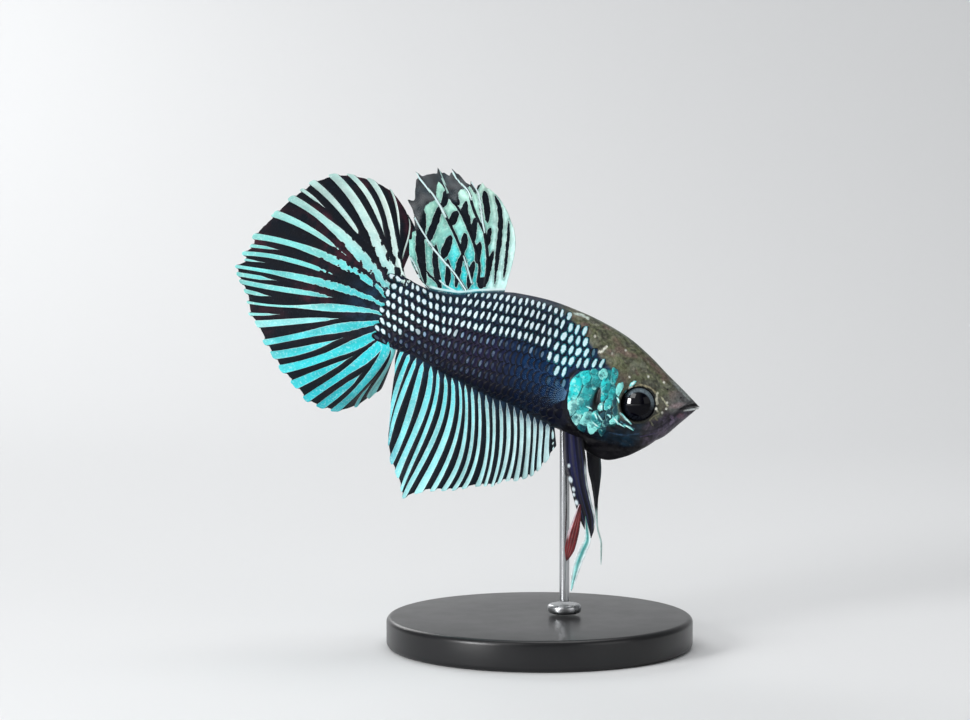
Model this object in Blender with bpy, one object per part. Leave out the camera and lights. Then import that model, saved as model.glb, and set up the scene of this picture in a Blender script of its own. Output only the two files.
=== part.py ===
"""A life-size still model of a short-finned fighting betta on a plain display stand.

Frame: metres, +Z up, the fish's nose towards +X, its right side towards -Y.
The origin is on the floor, at the centre of the stand's round base.
The fish is laid out in its own frame first, in millimetres:
    s  distance back from the snout tip along the body,
    h  height above the line through the snout tip,
    y  sideways, with the fish's left side positive.
"""
import math

import bmesh
import bpy
import numpy as np
from mathutils import Vector

# ---------------------------------------------------------------- sizes, mm
MM = 0.001
PITCH = math.radians(18.0)        # nose-down swimming angle
SNOUT_X, SNOUT_Z = 20.7, 31.3     # the snout tip above the floor
STANDARD_LENGTH = 42.6            # snout to the end of the tail stem
GAP = 0.3                         # clearance between neighbouring pieces
FIN_THICK = 0.5
COAT = 0.14                       # the scales stand this far over the skin
HEAD_END, MID_CUT, STEM_CUT = 17.45, 27.2, 36.2
EYE_S, EYE_H, EYE_Y = 7.85, -1.55, 2.45
EYE_R, EYE_DEPTH = 2.5, 1.45
CAUDAL_RAYS, DORSAL_RAYS, ANAL_RAYS, PECTORAL_RAYS = 13, 11, 26, 11
HYPURAL = (42.5, -0.83)           # centre that the tail fin fans out from
BASE_R, BASE_H = 20.0, 4.0
ROD_R, ROD_X = 0.65, 3.25


# ---------------------------------------------------------------- helpers
def curve(x, xs, ys):
    """A smooth curve through a few named stations that never overshoots them."""
    xs, ys = np.asarray(xs, float), np.asarray(ys, float)
    d = np.diff(ys) / np.diff(xs)
    m = np.concatenate([[d[0]], np.where(d[1:] * d[:-1] > 0, 2 * d[1:] * d[:-1] / (d[1:] + d[:-1] + 1e-12), 0), [d[-1]]])
    x = np.clip(np.asarray(x, float), xs[0], xs[-1])
    i = np.clip(np.searchsorted(xs, x) - 1, 0, len(xs) - 2)
    w = xs[i + 1] - xs[i]
    t = (x - xs[i]) / w
    return (2 * t**3 - 3 * t**2 + 1) * ys[i] + (t**3 - 2 * t**2 + t) * w * m[i] + (3 * t**2 - 2 * t**3) * ys[i + 1] + (t**3 - t**2) * w * m[i + 1]


def smooth(a, b, x):
    t = np.clip((np.asarray(x, float) - a) / (b - a), 0, 1)
    return t * t * (3 - 2 * t)


def world(s, h, y):
    """A point of the fish's frame, in metres in the part's frame."""
    return Vector((SNOUT_X - s * math.cos(PITCH) + h * math.sin(PITCH), y, SNOUT_Z + s * math.sin(PITCH) + h * math.cos(PITCH))) * MM


# ---------------------------------------------------------------- the body
BODY_S = (0.0, 1.5, 3.2, 5.0, 8.0, 11.3, 14.5, 18.0, 22.0, 27.0, 31.5, 34.8, 38.0, 40.6, 42.9)


def body_top(s):
    return curve(s, BODY_S, (0.22, 1.05, 1.95, 2.85, 4.45, 5.85, 6.65, 7.15, 7.38, 6.95, 5.55, 4.25, 3.85, 4.15, 4.35))


def body_bottom(s):
    return curve(s, BODY_S, (-0.35, -2.75, -5.35, -6.75, -7.75, -8.30, -8.72, -8.35, -7.55, -7.10, -6.45, -5.85, -5.30, -5.10, -4.95))


def body_width(s):
    return curve(s, BODY_S, (0.95, 1.75, 2.35, 2.80, 3.35, 3.72, 3.90, 3.72, 3.45, 3.05, 2.50, 2.00, 1.45, 0.95, 0.42))


def body_middle(s):
    return curve(s, BODY_S, (-0.10, -0.75, -1.45, -1.95, -2.35, -2.45, -2.25, -1.75, -1.20, -0.70, -0.60, -0.70, -0.80, -0.80, -0.80))


def body_point(s, a, grow=0.0):
    """A point of the body's surface, a = 0 on the back, +90 degrees on the left side and 180 on the belly."""
    t, b, w, m = float(body_top(s)), float(body_bottom(s)), float(body_width(s)), float(body_middle(s))
    c, q = math.cos(a), math.sin(a)
    up = float(curve(s, (0, 4, 12, 22, 43), (2.1, 2.25, 2.2, 2.0, 1.9)))
    low = float(curve(s, (0, 5, 14, 24, 43), (2.0, 2.15, 2.05, 1.85, 1.8)))
    n = up if c >= 0 else low
    h = (t - m + grow if c >= 0 else m - b + grow) * math.copysign(abs(c) ** (2 / n), c) + m
    y = (w + grow) * math.copysign(abs(q) ** (2 / n), q)
    # the jaws are round as seen from above, so the sides of the first sections lie further back
    back = 1.25 * (y / max(w, 0.1)) ** 2 * math.exp(-s / 1.6)
    # and the tail stem ends in a rounded edge as seen from the side
    back -= 0.055 * (h + 0.5) ** 2 * float(smooth(39.5, 42.9, s))
    return s + back, h, y


def loft(name, s_from, s_to, rings, around, grow=0.0):
    """A closed length of the body between two cross-sections."""
    bm = bmesh.new()
    rows = []
    for k in range(rings + 1):
        s = s_from + (s_to - s_from) * k / rings
        rows.append([bm.verts.new(world(*body_point(s, 2 * math.pi * (j + 0.5) / around, grow))) for j in range(around)])
    for a, b in zip(rows, rows[1:]):
        for j in range(around):
            bm.faces.new((a[j], a[(j + 1) % around], b[(j + 1) % around], b[j]))
    bm.faces.new(rows[0])
    bm.faces.new(list(reversed(rows[-1])))
    return finish_mesh(name, bm)


def finish_mesh(name, bm):
    bmesh.ops.triangulate(bm, faces=[f for f in bm.faces if len(f.verts) > 4])
    bmesh.ops.recalc_face_normals(bm, faces=bm.faces)
    if bm.calc_volume(signed=True) < 0:
        bmesh.ops.reverse_faces(bm, faces=bm.faces)
    me = bpy.data.meshes.new(name)
    bm.to_mesh(me)
    bm.free()
    me.shade_smooth()
    me.set_sharp_from_angle(angle=math.radians(35))
    ob = bpy.data.objects.new(name, me)
    bpy.context.scene.collection.objects.link(ob)
    return ob


def prism(name, outline, y0, y1):
    """A cutter: an outline in the fish's side view, swept from y0 to y1."""
    bm = bmesh.new()
    near = [bm.verts.new(world(s, h, y0)) for s, h in outline]
    far = [bm.verts.new(world(s, h, y1)) for s, h in outline]
    n = len(outline)
    for i in range(n):
        bm.faces.new((near[i], near[(i + 1) % n], far[(i + 1) % n], far[i]))
    bm.faces.new(near)
    bm.faces.new(list(reversed(far)))
    return finish_mesh(name, bm)


def ellipsoid(name, centre, radii, segments, rings):
    """An ellipsoid in the fish's frame, its poles sideways."""
    bm = bmesh.new()
    bmesh.ops.create_uvsphere(bm, u_segments=segments, v_segments=rings, radius=1.0)
    for v in bm.verts:
        x, yy, z = v.co
        v.co = world(centre[0] + radii[0] * x, centre[1] + radii[0] * yy, centre[2] + radii[1] * z)
    return finish_mesh(name, bm)


def helper(ob):
    ob.hide_render = True
    ob.display_type = "WIRE"
    return ob


def boolean(ob, other, operation="DIFFERENCE"):
    m = ob.modifiers.new(operation.lower(), "BOOLEAN")
    m.operation, m.object, m.solver = operation, other, "EXACT"
    return ob


# ---------------------------------------------------------------- fins
def bezier(b, c, t, v):
    return [(1 - v) ** 2 * b[k] + 2 * v * (1 - v) * c[k] + v * v * t[k] for k in range(len(b))]


def ray_curve(base, lean, length, bend, v, side):
    """A fin ray in the side view: base (s, h), lean back from straight out in degrees, length and how far it first leans forward. side is +1 on the back and -1 on the belly."""
    tip = (base[0] + length * math.sin(math.radians(lean)), base[1] + side * length * math.cos(math.radians(lean)))
    first = math.radians(lean - bend)
    elbow = (base[0] + 0.58 * length * math.sin(first), base[1] + side * 0.58 * length * math.cos(first))
    return bezier(base, elbow, tip, v)


def caudal_point(u, v, extra=0.0):
    """u runs from the top ray to the bottom one, v from the tail stem to the margin."""
    a = -88.0 + 194.0 * u
    r = float(curve(a, (-90, -80, -70, -50, -20, 0, 15, 40, 65, 85, 97, 108), (11.6, 15.3, 17.6, 19.2, 19.4, 20.3, 18.2, 15.9, 15.3, 14.4, 12.2, 9.4))) + extra
    ar = math.radians(a)
    tip = (HYPURAL[0] + r * math.cos(ar), HYPURAL[1] - r * math.sin(ar))
    h = 4.1 - 8.9 * u
    base = (42.3 - 0.055 * (h + 0.5) ** 2, h)
    dx, dy = tip[0] - base[0], tip[1] - base[1]
    turn = math.radians(-9.0 * math.sin(ar))
    elbow = (base[0] + 0.55 * (dx * math.cos(turn) - dy * math.sin(turn)), base[1] + 0.55 * (dx * math.sin(turn) + dy * math.cos(turn)))
    s, h = bezier(base, elbow, tip, v)
    lower, upper = float(smooth(5, 100, a)), float(smooth(5, 85, -a))
    y = 7.2 * lower * v**1.5 + 1.5 * upper * v**1.2 + 0.30 * math.sin(math.radians(a * 5.0)) * v**2
    return s, h, y


def dorsal_point(u, v, extra=0.0):
    """u runs from the first ray to the last, v from the back to the margin."""
    s = 28.35 + 11.0 * u
    base = (s, float(body_top(s)) - 0.55)
    lean = float(curve(u, (0, 0.1, 0.2, 0.3, 0.4, 0.5, 0.7, 1.0), (13, 16, 22, 33, 43, 50, 56, 58)))
    length = float(curve(u, (0, 0.1, 0.2, 0.35, 0.45, 0.6, 0.8, 1.0), (9.6, 13.2, 15.6, 18.0, 16.4, 11.8, 7.2, 3.6))) + extra
    bend = float(curve(u, (0, 0.25, 0.6, 1.0), (13, 13, 7, 4)))
    s, h = ray_curve(base, lean, length, bend, v, 1)
    y = (-1.1 * math.sin(2.0 * u + 0.3) + 0.28 * math.sin(15 * u)) * v**1.4
    return s, h, y


def anal_point(u, v, extra=0.0):
    """u runs from the first ray to the last, v from the belly to the margin."""
    s = 16.9 + 22.1 * u
    base = (s, float(body_bottom(s)) + 0.55)
    lean = float(curve(u, (0, 0.07, 0.15, 0.28, 0.46, 0.67, 0.76, 0.88, 1.0), (2, -5, -11, -10.7, -4, 5.0, 4.6, 1.0, 4.0)))
    length = float(curve(u, (0, 0.06, 0.15, 0.28, 0.46, 0.68, 0.76, 0.86, 0.92, 1.0), (2.6, 6.2, 8.9, 10.8, 13.4, 17.2, 15.3, 13.8, 9.6, 3.2))) + extra
    bend = float(curve(u, (0, 0.2, 0.6, 0.85, 1.0), (6, 15, 15, 5, 3)))
    s, h = ray_curve(base, lean, length, bend, v, -1)
    y = (-0.7 * math.sin(3.0 * u) + 0.32 * math.sin(17 * u) + 1.3 * float(smooth(0.5, 0.75, u))) * v**1.8
    return s, h, y


def pectoral_point(u, v, side, extra=0.0):
    """A fan behind the gill cover, u from its upper ray to its lower one."""
    a = math.radians(34.0 - 74.0 * u)
    length = float(curve(u, (0, 0.3, 0.6, 1.0), (6.6, 8.2, 7.6, 4.6))) + extra
    out, back = math.sin(math.radians(24.0)), math.cos(math.radians(24.0))
    s = 17.15 + length * v * math.cos(a) * back
    h = -3.75 - 0.95 * u + 0.5 + length * v * math.sin(a)
    y = 3.35 + 0.25 * math.cos(3 * u) + length * v * math.cos(a) * out + 0.5 * v * v * math.sin(math.pi * u)
    return s, h, side * y


def sheet_solid(name, point, nu, nv, thick, u0=0.0, u1=1.0, v0=0.0):
    """A thin closed solid about the surface point(u, v)."""
    bm = bmesh.new()
    mid = [[np.array(point(u0 + (u1 - u0) * i / nu, v0 + (1 - v0) * j / nv), float) for j in range(nv + 1)] for i in range(nu + 1)]
    front, back = [], []
    for i in range(nu + 1):
        f, k = [], []
        for j in range(nv + 1):
            du = mid[min(i + 1, nu)][j] - mid[max(i - 1, 0)][j]
            dv = mid[i][min(j + 1, nv)] - mid[i][max(j - 1, 0)]
            n = np.cross(du, dv)
            n = n / max(np.linalg.norm(n), 1e-9)
            f.append(bm.verts.new(world(*(mid[i][j] + n * thick / 2))))
            k.append(bm.verts.new(world(*(mid[i][j] - n * thick / 2))))
        front.append(f)
        back.append(k)
    for i in range(nu):
        for j in range(nv):
            bm.faces.new((front[i][j], front[i + 1][j], front[i + 1][j + 1], front[i][j + 1]))
            bm.faces.new((back[i][j], back[i][j + 1], back[i + 1][j + 1], back[i + 1][j]))
    loop_f = [front[i][0] for i in range(nu + 1)] + [front[nu][j] for j in range(1, nv + 1)] + [front[i][nv] for i in range(nu - 1, -1, -1)] + [front[0][j] for j in range(nv - 1, 0, -1)]
    loop_b = [back[i][0] for i in range(nu + 1)] + [back[nu][j] for j in range(1, nv + 1)] + [back[i][nv] for i in range(nu - 1, -1, -1)] + [back[0][j] for j in range(nv - 1, 0, -1)]
    n = len(loop_f)
    for i in range(n):
        bm.faces.new((loop_f[i], loop_b[i], loop_b[(i + 1) % n], loop_f[(i + 1) % n]))
    return finish_mesh(name, bm)


def notched(point, rays, depth):
    """The same fin with its margin drawn in a little at each ray's dark line."""
    return lambda u, v: point(u, v, -depth * abs(math.cos(math.pi * u * (rays - 1))))


def ribbon(name, line, widths, thick, steps, across=3):
    """A narrow fin that hangs along a smooth line of (x, y, z) mm in the part's frame, wide in the x direction."""
    t = np.linspace(0, 1, len(line))
    bm = bmesh.new()
    rings = []
    for k in range(steps + 1):
        v = k / steps
        c = [float(curve(v, t, [p[i] for p in line])) for i in range(3)]
        w = float(curve(v, np.linspace(0, 1, len(widths)), widths)) / 2
        ring = []
        for j in range(across + 1):
            ring.append((c[0] - w + 2 * w * j / across, c[1] + thick / 2, c[2]))
        for j in range(across, -1, -1):
            ring.append((c[0] - w + 2 * w * j / across, c[1] - thick / 2, c[2]))
        rings.append([bm.verts.new(Vector(p) * MM) for p in ring])
    n = len(rings[0])
    for a, b in zip(rings, rings[1:]):
        for j in range(n):
            bm.faces.new((a[j], a[(j + 1) % n], b[(j + 1) % n], b[j]))
    bm.faces.new(rings[0])
    bm.faces.new(list(reversed(rings[-1])))
    return finish_mesh(name, bm)


def turned(name, profile, segments, x=0.0):
    """A solid of revolution about the vertical through x: profile is (radius, height) in mm, from the bottom centre to the top centre."""
    bm = bmesh.new()
    rings = []
    for r, z in profile:
        if r == 0:
            rings.append([bm.verts.new(Vector((x, 0, z)) * MM)])
        else:
            rings.append([bm.verts.new(Vector((x + r * math.cos(2 * math.pi * k / segments), r * math.sin(2 * math.pi * k / segments), z)) * MM) for k in range(segments)])
    for a, b in zip(rings, rings[1:]):
        for k in range(segments):
            j = (k + 1) % segments
            if len(a) == 1:
                bm.faces.new((a[0], b[k], b[j]))
            elif len(b) == 1:
                bm.faces.new((a[k], b[0], a[j]))
            else:
                bm.faces.new((a[k], a[j], b[j], b[k]))
    return finish_mesh(name, bm)


def paint(ob, name, colour, roughness, metallic=0.0):
    m = bpy.data.materials.get(name) or bpy.data.materials.new(name)
    m.use_nodes = True
    p = m.node_tree.nodes["Principled BSDF"]
    p.inputs["Base Color"].default_value = (*colour, 1)
    p.inputs["Roughness"].default_value = roughness
    p.inputs["Metallic"].default_value = metallic
    ob.data.materials.append(m)
    return ob


# ---------------------------------------------------------------- build
for o in list(bpy.data.objects):
    bpy.data.objects.remove(o)

OLIVE, NAVY, TURQ, BLACK = (0.11, 0.115, 0.085), (0.012, 0.03, 0.07), (0.02, 0.55, 0.56), (0.006, 0.005, 0.009)

# cutters that follow the body
fat_body = helper(loft("fat_body", -0.3, 43.15, 30, 28, GAP))
core = helper(loft("core", 6.0, 20.0, 16, 24, -1.0))
core_small = helper(loft("core_small", 6.0, 20.0, 16, 24, -1.0 - GAP))

# the gill cover's outline in side view: a rounded plate behind the eye
GILL_C = (13.55, -3.45)


def gill_outline(grow, count=28):
    pts = []
    for k in range(count):
        a = 2 * math.pi * k / count
        rx = (3.35 if math.cos(a) > 0 else 3.0) + grow
        rz = (4.05 if math.sin(a) > 0 else 3.95) + grow
        pts.append((GILL_C[0] + rx * math.cos(a), GILL_C[1] + rz * math.sin(a)))
    return pts


sides = (("right", -1), ("left", 1))
hollows = []
for side, sign in sides:
    wide = helper(boolean(prism(f"gill_hollow_{side}", gill_outline(GAP / 2), 0.4 * sign, 9.0 * sign), core_small))
    hollows.append(wide)

# head, lower jaw and gill covers
head = loft("head", 0.0, HEAD_END - GAP / 2, 18, 28)
jaw = loft("lower_jaw", 0.0, 8.0, 10, 28)
JAW = [(-1.0, -0.05), (0.6, -0.25), (2.2, -0.72), (3.7, -2.7), (4.9, -4.7), (5.6, -9.0), (-1.0, -9.0)]
JAW_WIDE = [(-1.0, 0.05), (0.6, -0.10), (2.35, -0.56), (3.95, -2.6), (5.18, -4.62), (5.9, -9.6), (-1.0, -9.6)]
jaw_block = helper(prism("jaw_block", JAW, -6, 6))
jaw_room = helper(prism("jaw_room", JAW_WIDE, -7, 7))
boolean(jaw, jaw_block, "INTERSECT")
boolean(head, jaw_room)
for hollow in hollows:
    boolean(head, hollow)
for side, sign in sides:
    socket = helper(ellipsoid(f"socket_{side}", (EYE_S, EYE_H, EYE_Y * sign), (EYE_R + GAP, EYE_DEPTH + GAP), 18, 10))
    boolean(head, socket)
    eye = ellipsoid(f"eye_{side}", (EYE_S, EYE_H, EYE_Y * sign), (EYE_R, EYE_DEPTH), 18, 9)
    paint(eye, "eye", (0.02, 0.02, 0.025), 0.08)
    plate = loft(f"gill_cover_{side}", 9.5, 17.4, 10, 32)
    block = helper(prism(f"gill_block_{side}", gill_outline(-GAP / 2), 0.4 * sign, 9.0 * sign))
    boolean(plate, block, "INTERSECT")
    boolean(plate, core)
    paint(plate, "gill_turquoise", TURQ, 0.35)
paint(head, "head_skin", OLIVE, 0.45)
paint(jaw, "jaw_skin", (0.05, 0.045, 0.06), 0.45)

# trunk and tail stem
front = paint(loft("trunk_front", HEAD_END + GAP / 2, MID_CUT - GAP / 2, 10, 32), "scaled_skin", NAVY, 0.4)
rear = paint(loft("trunk_rear", MID_CUT + GAP / 2, STEM_CUT - GAP / 2, 9, 32), "scaled_skin", NAVY, 0.4)
stem = paint(loft("tail_stem", STEM_CUT + GAP / 2, 42.85, 8, 28), "scaled_skin", NAVY, 0.4)

# the black gill membrane that hangs under the head like a keel
bm = bmesh.new()
rows = []
BEARD_S = np.linspace(5.7, 14.3, 15)
for s in BEARD_S:
    deep = float(curve(s, (4.4, 5.6, 7.6, 9.6, 11.6, 13.2, 14.6), (-7.0, -8.2, -9.7, -10.5, -10.2, -9.7, -9.1)))
    top = float(body_bottom(s)) + 0.9
    wide = float(curve(s, (4.4, 8.0, 12.0, 14.6), (0.5, 1.25, 1.35, 0.7)))
    ring = []
    for k in range(12):
        a = 2 * math.pi * (k + 0.5) / 12
        ring.append(bm.verts.new(world(s, (top + deep) / 2 + (top - deep) / 2 * math.cos(a), wide * math.sin(a))))
    rows.append(ring)
for a, b in zip(rows, rows[1:]):
    for j in range(12):
        bm.faces.new((a[j], a[(j + 1) % 12], b[(j + 1) % 12], b[j]))
bm.faces.new(rows[0])
bm.faces.new(list(reversed(rows[-1])))
beard = boolean(finish_mesh("gill_membrane", bm), fat_body)
paint(beard, "membrane_black", BLACK, 0.5)

# fins on the midline
caudal = sheet_solid("caudal_fin", notched(caudal_point, CAUDAL_RAYS, 0.35), 24, 8, FIN_THICK)
boolean(caudal, fat_body)
dorsal = sheet_solid("dorsal_fin", notched(dorsal_point, DORSAL_RAYS, 0.4), 20, 7, FIN_THICK)
boolean(dorsal, fat_body)
anal = sheet_solid("anal_fin", notched(anal_point, ANAL_RAYS, 0.25), 25, 6, FIN_THICK)
boolean(anal, fat_body)
for fin in (caudal, dorsal, anal):
    paint(fin, "fin_turquoise", (0.08, 0.62, 0.6), 0.4)

# paired fins
for side, sign in sides:
    fin = sheet_solid(f"pectoral_{side}", lambda u, v, sign=sign: pectoral_point(u, v, sign), 10, 5, FIN_THICK)
    boolean(fin, fat_body)
    paint(fin, "fin_clear", (0.30, 0.42, 0.48), 0.3)

near = ribbon("pelvic_right", [(4.35, -1.45, 27.6), (4.7, -2.2, 23.4), (5.1, -2.6, 20.1), (5.45, -2.7, 17.4), (4.75, -2.75, 14.9), (3.45, -2.7, 11.9)], (2.0, 2.3, 2.3, 1.5, 1.2, 0.7), FIN_THICK, 14)
prong = helper(ribbon("pelvic_prong", [(5.6, -2.68, 18.6), (6.0, -2.7, 16.2), (5.5, -2.75, 12.8), (4.05, -2.8, 8.1)], (1.3, 1.0, 0.9, 0.55), FIN_THICK * 0.98, 9))
boolean(near, prong, "UNION")
far = ribbon("pelvic_left", [(6.6, 1.45, 26.8), (7.0, 2.0, 22.3), (7.25, 2.2, 19.0), (7.5, 2.25, 16.6), (7.85, 2.2, 13.6), (8.05, 2.1, 9.8)], (2.0, 2.0, 1.7, 0.8, 0.55, 0.5), FIN_THICK, 14)
for fin in (near, far):
    boolean(fin, fat_body)
    boolean(fin, helper(ellipsoid(fin.name + "_clear", (10.6, -8.3, 0.0), (3.6, 1.65), 20, 10)))
    paint(fin, "pelvic_dark", (0.01, 0.014, 0.035), 0.45)

# the display stand
base = turned("stand_base", [(0, 0), (BASE_R - 0.5, 0), (BASE_R, 0.5), (BASE_R, BASE_H - 1.0), (BASE_R - 0.3, BASE_H - 0.4), (BASE_R - 1.0, BASE_H), (0, BASE_H)], 48)
paint(base, "stand_black", (0.012, 0.012, 0.013), 0.35)
collar = turned("stand_collar", [(0, BASE_H + GAP), (2.2, BASE_H + GAP), (2.2, BASE_H + 0.8), (1.2, BASE_H + 1.5), (0, BASE_H + 1.5)], 32, ROD_X)
paint(collar, "stand_steel", (0.6, 0.6, 0.6), 0.25, 1.0)
rod = turned("stand_rod", [(0, BASE_H + 1.5 + GAP), (ROD_R, BASE_H + 1.5 + GAP), (ROD_R, 30.0), (0, 30.0)], 20, ROD_X)
boolean(rod, fat_body)
paint(rod, "stand_steel", (0.6, 0.6, 0.6), 0.25, 1.0)
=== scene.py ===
"""The looks of a life-size betta on its display stand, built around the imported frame.

Lengths are in millimetres until a mesh is made, then metres. The fish has its own frame:
    s  back from the snout, h  above the snout's level along the body's axis, y  to the fish's left.
"""
import math
import random

import bmesh
import bpy
import numpy as np
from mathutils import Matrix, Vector


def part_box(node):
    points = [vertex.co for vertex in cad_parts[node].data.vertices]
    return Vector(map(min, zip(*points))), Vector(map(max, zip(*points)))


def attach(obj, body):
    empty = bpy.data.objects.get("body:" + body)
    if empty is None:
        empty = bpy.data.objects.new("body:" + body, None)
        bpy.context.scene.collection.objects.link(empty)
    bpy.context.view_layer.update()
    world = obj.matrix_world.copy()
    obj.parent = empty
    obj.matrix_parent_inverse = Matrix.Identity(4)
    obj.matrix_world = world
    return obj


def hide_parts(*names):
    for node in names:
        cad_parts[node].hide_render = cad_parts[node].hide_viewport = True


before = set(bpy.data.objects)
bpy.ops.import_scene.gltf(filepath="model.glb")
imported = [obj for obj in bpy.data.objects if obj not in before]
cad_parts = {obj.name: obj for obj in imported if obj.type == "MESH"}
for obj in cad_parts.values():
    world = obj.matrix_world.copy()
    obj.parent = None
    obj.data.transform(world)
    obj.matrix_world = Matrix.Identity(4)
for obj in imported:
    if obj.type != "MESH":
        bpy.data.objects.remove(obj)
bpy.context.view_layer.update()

# ------------------------------------------------------------------ sizes
MM = 0.001
PITCH = math.radians(18.0)
CP, SP = math.cos(PITCH), math.sin(PITCH)
EYE_S, EYE_H = 7.85, -1.9
CAD_EYE_H = -1.55
COAT = 0.14
lo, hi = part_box("eye_right")
SNOUT_X = (lo[0] + hi[0]) * 500 + EYE_S * CP - CAD_EYE_H * SP
SNOUT_Z = (lo[2] + hi[2]) * 500 - EYE_S * SP - CAD_EYE_H * CP
# where the fish is looked at from: the fins' outlines hold for an eye this far off and this high
VIEW_ELEV = math.radians(4.0)
VIEW_DIST = 350.0
VIEW_X = SNOUT_X - 27.82
VIEW_Z = SNOUT_Z + 6.11 / math.cos(VIEW_ELEV)


def smooth(a, b, x):
    t = np.clip((np.asarray(x, float) - a) / (b - a), 0, 1)
    return t * t * (3 - 2 * t)


def curve(x, xs, ys):
    """A smooth curve through a few stations that never overshoots them."""
    xs, ys = np.asarray(xs, float), np.asarray(ys, float)
    d = np.diff(ys) / np.diff(xs)
    m = np.concatenate([[d[0]], np.where(d[1:] * d[:-1] > 0, 2 * d[1:] * d[:-1] / (d[1:] + d[:-1] + 1e-12), 0), [d[-1]]])
    x = np.clip(np.asarray(x, float), xs[0], xs[-1])
    i = np.clip(np.searchsorted(xs, x) - 1, 0, len(xs) - 2)
    w = xs[i + 1] - xs[i]
    t = (x - xs[i]) / w
    return (2 * t**3 - 3 * t**2 + 1) * ys[i] + (t**3 - 2 * t**2 + t) * w * m[i] + (3 * t**2 - 2 * t**3) * ys[i + 1] + (t**3 - t**2) * w * m[i + 1]


def to_world(p):
    """Fish-frame mm, as (..., 3), to world metres."""
    p = np.asarray(p, float)
    out = np.empty_like(p)
    out[..., 0] = SNOUT_X - p[..., 0] * CP + p[..., 1] * SP
    out[..., 1] = p[..., 2]
    out[..., 2] = SNOUT_Z + p[..., 0] * SP + p[..., 1] * CP
    return out * MM


def from_world_mm(x, z):
    dx, dz = np.asarray(x, float) - SNOUT_X, np.asarray(z, float) - SNOUT_Z
    return -dx * CP + dz * SP, dx * SP + dz * CP


def srgb(r, g, b):
    c = np.array([r, g, b], float) / 255
    return np.where(c <= 0.04045, c / 12.92, ((c + 0.055) / 1.055) ** 2.4)


def noise2(x, y, seed=0):
    """Smooth value noise in 2-D, from -1 to 1."""
    x, y = np.asarray(x, float), np.asarray(y, float)
    xi, yi = np.floor(x).astype(np.int64), np.floor(y).astype(np.int64)
    xf, yf = x - xi, y - yi

    def h(i, j):
        n = (i * 374761393 + j * 668265263 + seed * 974634777) & 0x7FFFFFFF
        n = ((n ^ (n >> 13)) * 1274126177) & 0x7FFFFFFF
        return ((n ^ (n >> 16)) & 0xFFFF) / 32767.5 - 1
    u, v = xf * xf * (3 - 2 * xf), yf * yf * (3 - 2 * yf)
    return (h(xi, yi) * (1 - u) + h(xi + 1, yi) * u) * (1 - v) + (h(xi, yi + 1) * (1 - u) + h(xi + 1, yi + 1) * u) * v


def outline_distance(px, py, pts):
    """Signed distance to a closed outline, positive inside."""
    pts = np.asarray(pts, float)
    px, py = np.asarray(px, float), np.asarray(py, float)
    best = np.full(px.shape, 1e9)
    inside = np.zeros(px.shape, bool)
    for (x0, y0), (x1, y1) in zip(pts, np.roll(pts, -1, axis=0)):
        ex, ey = x1 - x0, y1 - y0
        t = np.clip(((px - x0) * ex + (py - y0) * ey) / (ex * ex + ey * ey + 1e-12), 0, 1)
        best = np.minimum(best, np.hypot(px - x0 - t * ex, py - y0 - t * ey))
        cross = ((y0 > py) != (y1 > py)) & (px < (x1 - x0) * (py - y0) / (y1 - y0 + 1e-12) + x0)
        inside ^= cross
    return np.where(inside, best, -best)


def line_distance(px, py, pts, count=24):
    """Distance to a smooth open line through a few points, and how far along it from 0 to 1."""
    pts = np.asarray(pts, float)
    t = np.linspace(0, 1, len(pts))
    fine = np.linspace(0, 1, count)
    lx, ly = curve(fine, t, pts[:, 0]), curve(fine, t, pts[:, 1])
    px, py = np.asarray(px, float), np.asarray(py, float)
    best = np.full(px.shape, 1e9)
    where = np.zeros(px.shape)
    for i in range(count - 1):
        ex, ey = lx[i + 1] - lx[i], ly[i + 1] - ly[i]
        k = np.clip(((px - lx[i]) * ex + (py - ly[i]) * ey) / (ex * ex + ey * ey + 1e-12), 0, 1)
        d = np.hypot(px - lx[i] - k * ex, py - ly[i] - k * ey)
        near = d < best
        best = np.where(near, d, best)
        where = np.where(near, (i + k) / (count - 1), where)
    return best, where


def smooth_loop(pts, count):
    """A closed smooth outline through a few points."""
    pts = np.asarray(pts, float)
    n = len(pts)
    out = []
    for k in range(count):
        f = k / count * n
        i, t = int(f) % n, f - int(f)
        a, b, c, d = pts[(i - 1) % n], pts[i], pts[(i + 1) % n], pts[(i + 2) % n]
        out.append(0.5 * ((2 * b) + (c - a) * t + (2 * a - 5 * b + 4 * c - d) * t * t + (3 * b - a - 3 * c + d) * t**3))
    return np.array(out)


# ------------------------------------------------------------------ making meshes
def make_mesh(name, points, faces, attrs=None, uv=None, loop_uv=None, material=None, smooth_shade=True):
    """points in world metres, faces as an (n, 4) array or a list, attrs as name to a value or a colour for each point."""
    me = bpy.data.meshes.new(name)
    faces_list = faces.tolist() if isinstance(faces, np.ndarray) else faces
    me.from_pydata(np.asarray(points, float).tolist(), [], faces_list)
    me.update()
    for key, values in (attrs or {}).items():
        values = np.asarray(values, np.float32)
        if values.ndim == 1:
            me.attributes.new(key, "FLOAT", "POINT").data.foreach_set("value", values)
        else:
            if values.shape[1] == 3:
                values = np.concatenate([values, np.ones((len(values), 1), np.float32)], axis=1)
            me.attributes.new(key, "FLOAT_COLOR", "POINT").data.foreach_set("color", values.ravel())
    if uv is not None or loop_uv is not None:
        layer = me.uv_layers.new(name="OFBake")
        if loop_uv is None:
            idx = np.empty(len(me.loops), np.int32)
            me.loops.foreach_get("vertex_index", idx)
            loop_uv = np.asarray(uv, np.float32)[idx]
        layer.data.foreach_set("uv", np.asarray(loop_uv, np.float32).ravel())
    if smooth_shade:
        me.shade_smooth()
    ob = bpy.data.objects.new(name, me)
    bpy.context.scene.collection.objects.link(ob)
    if material:
        me.materials.append(material)
    return ob


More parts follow.
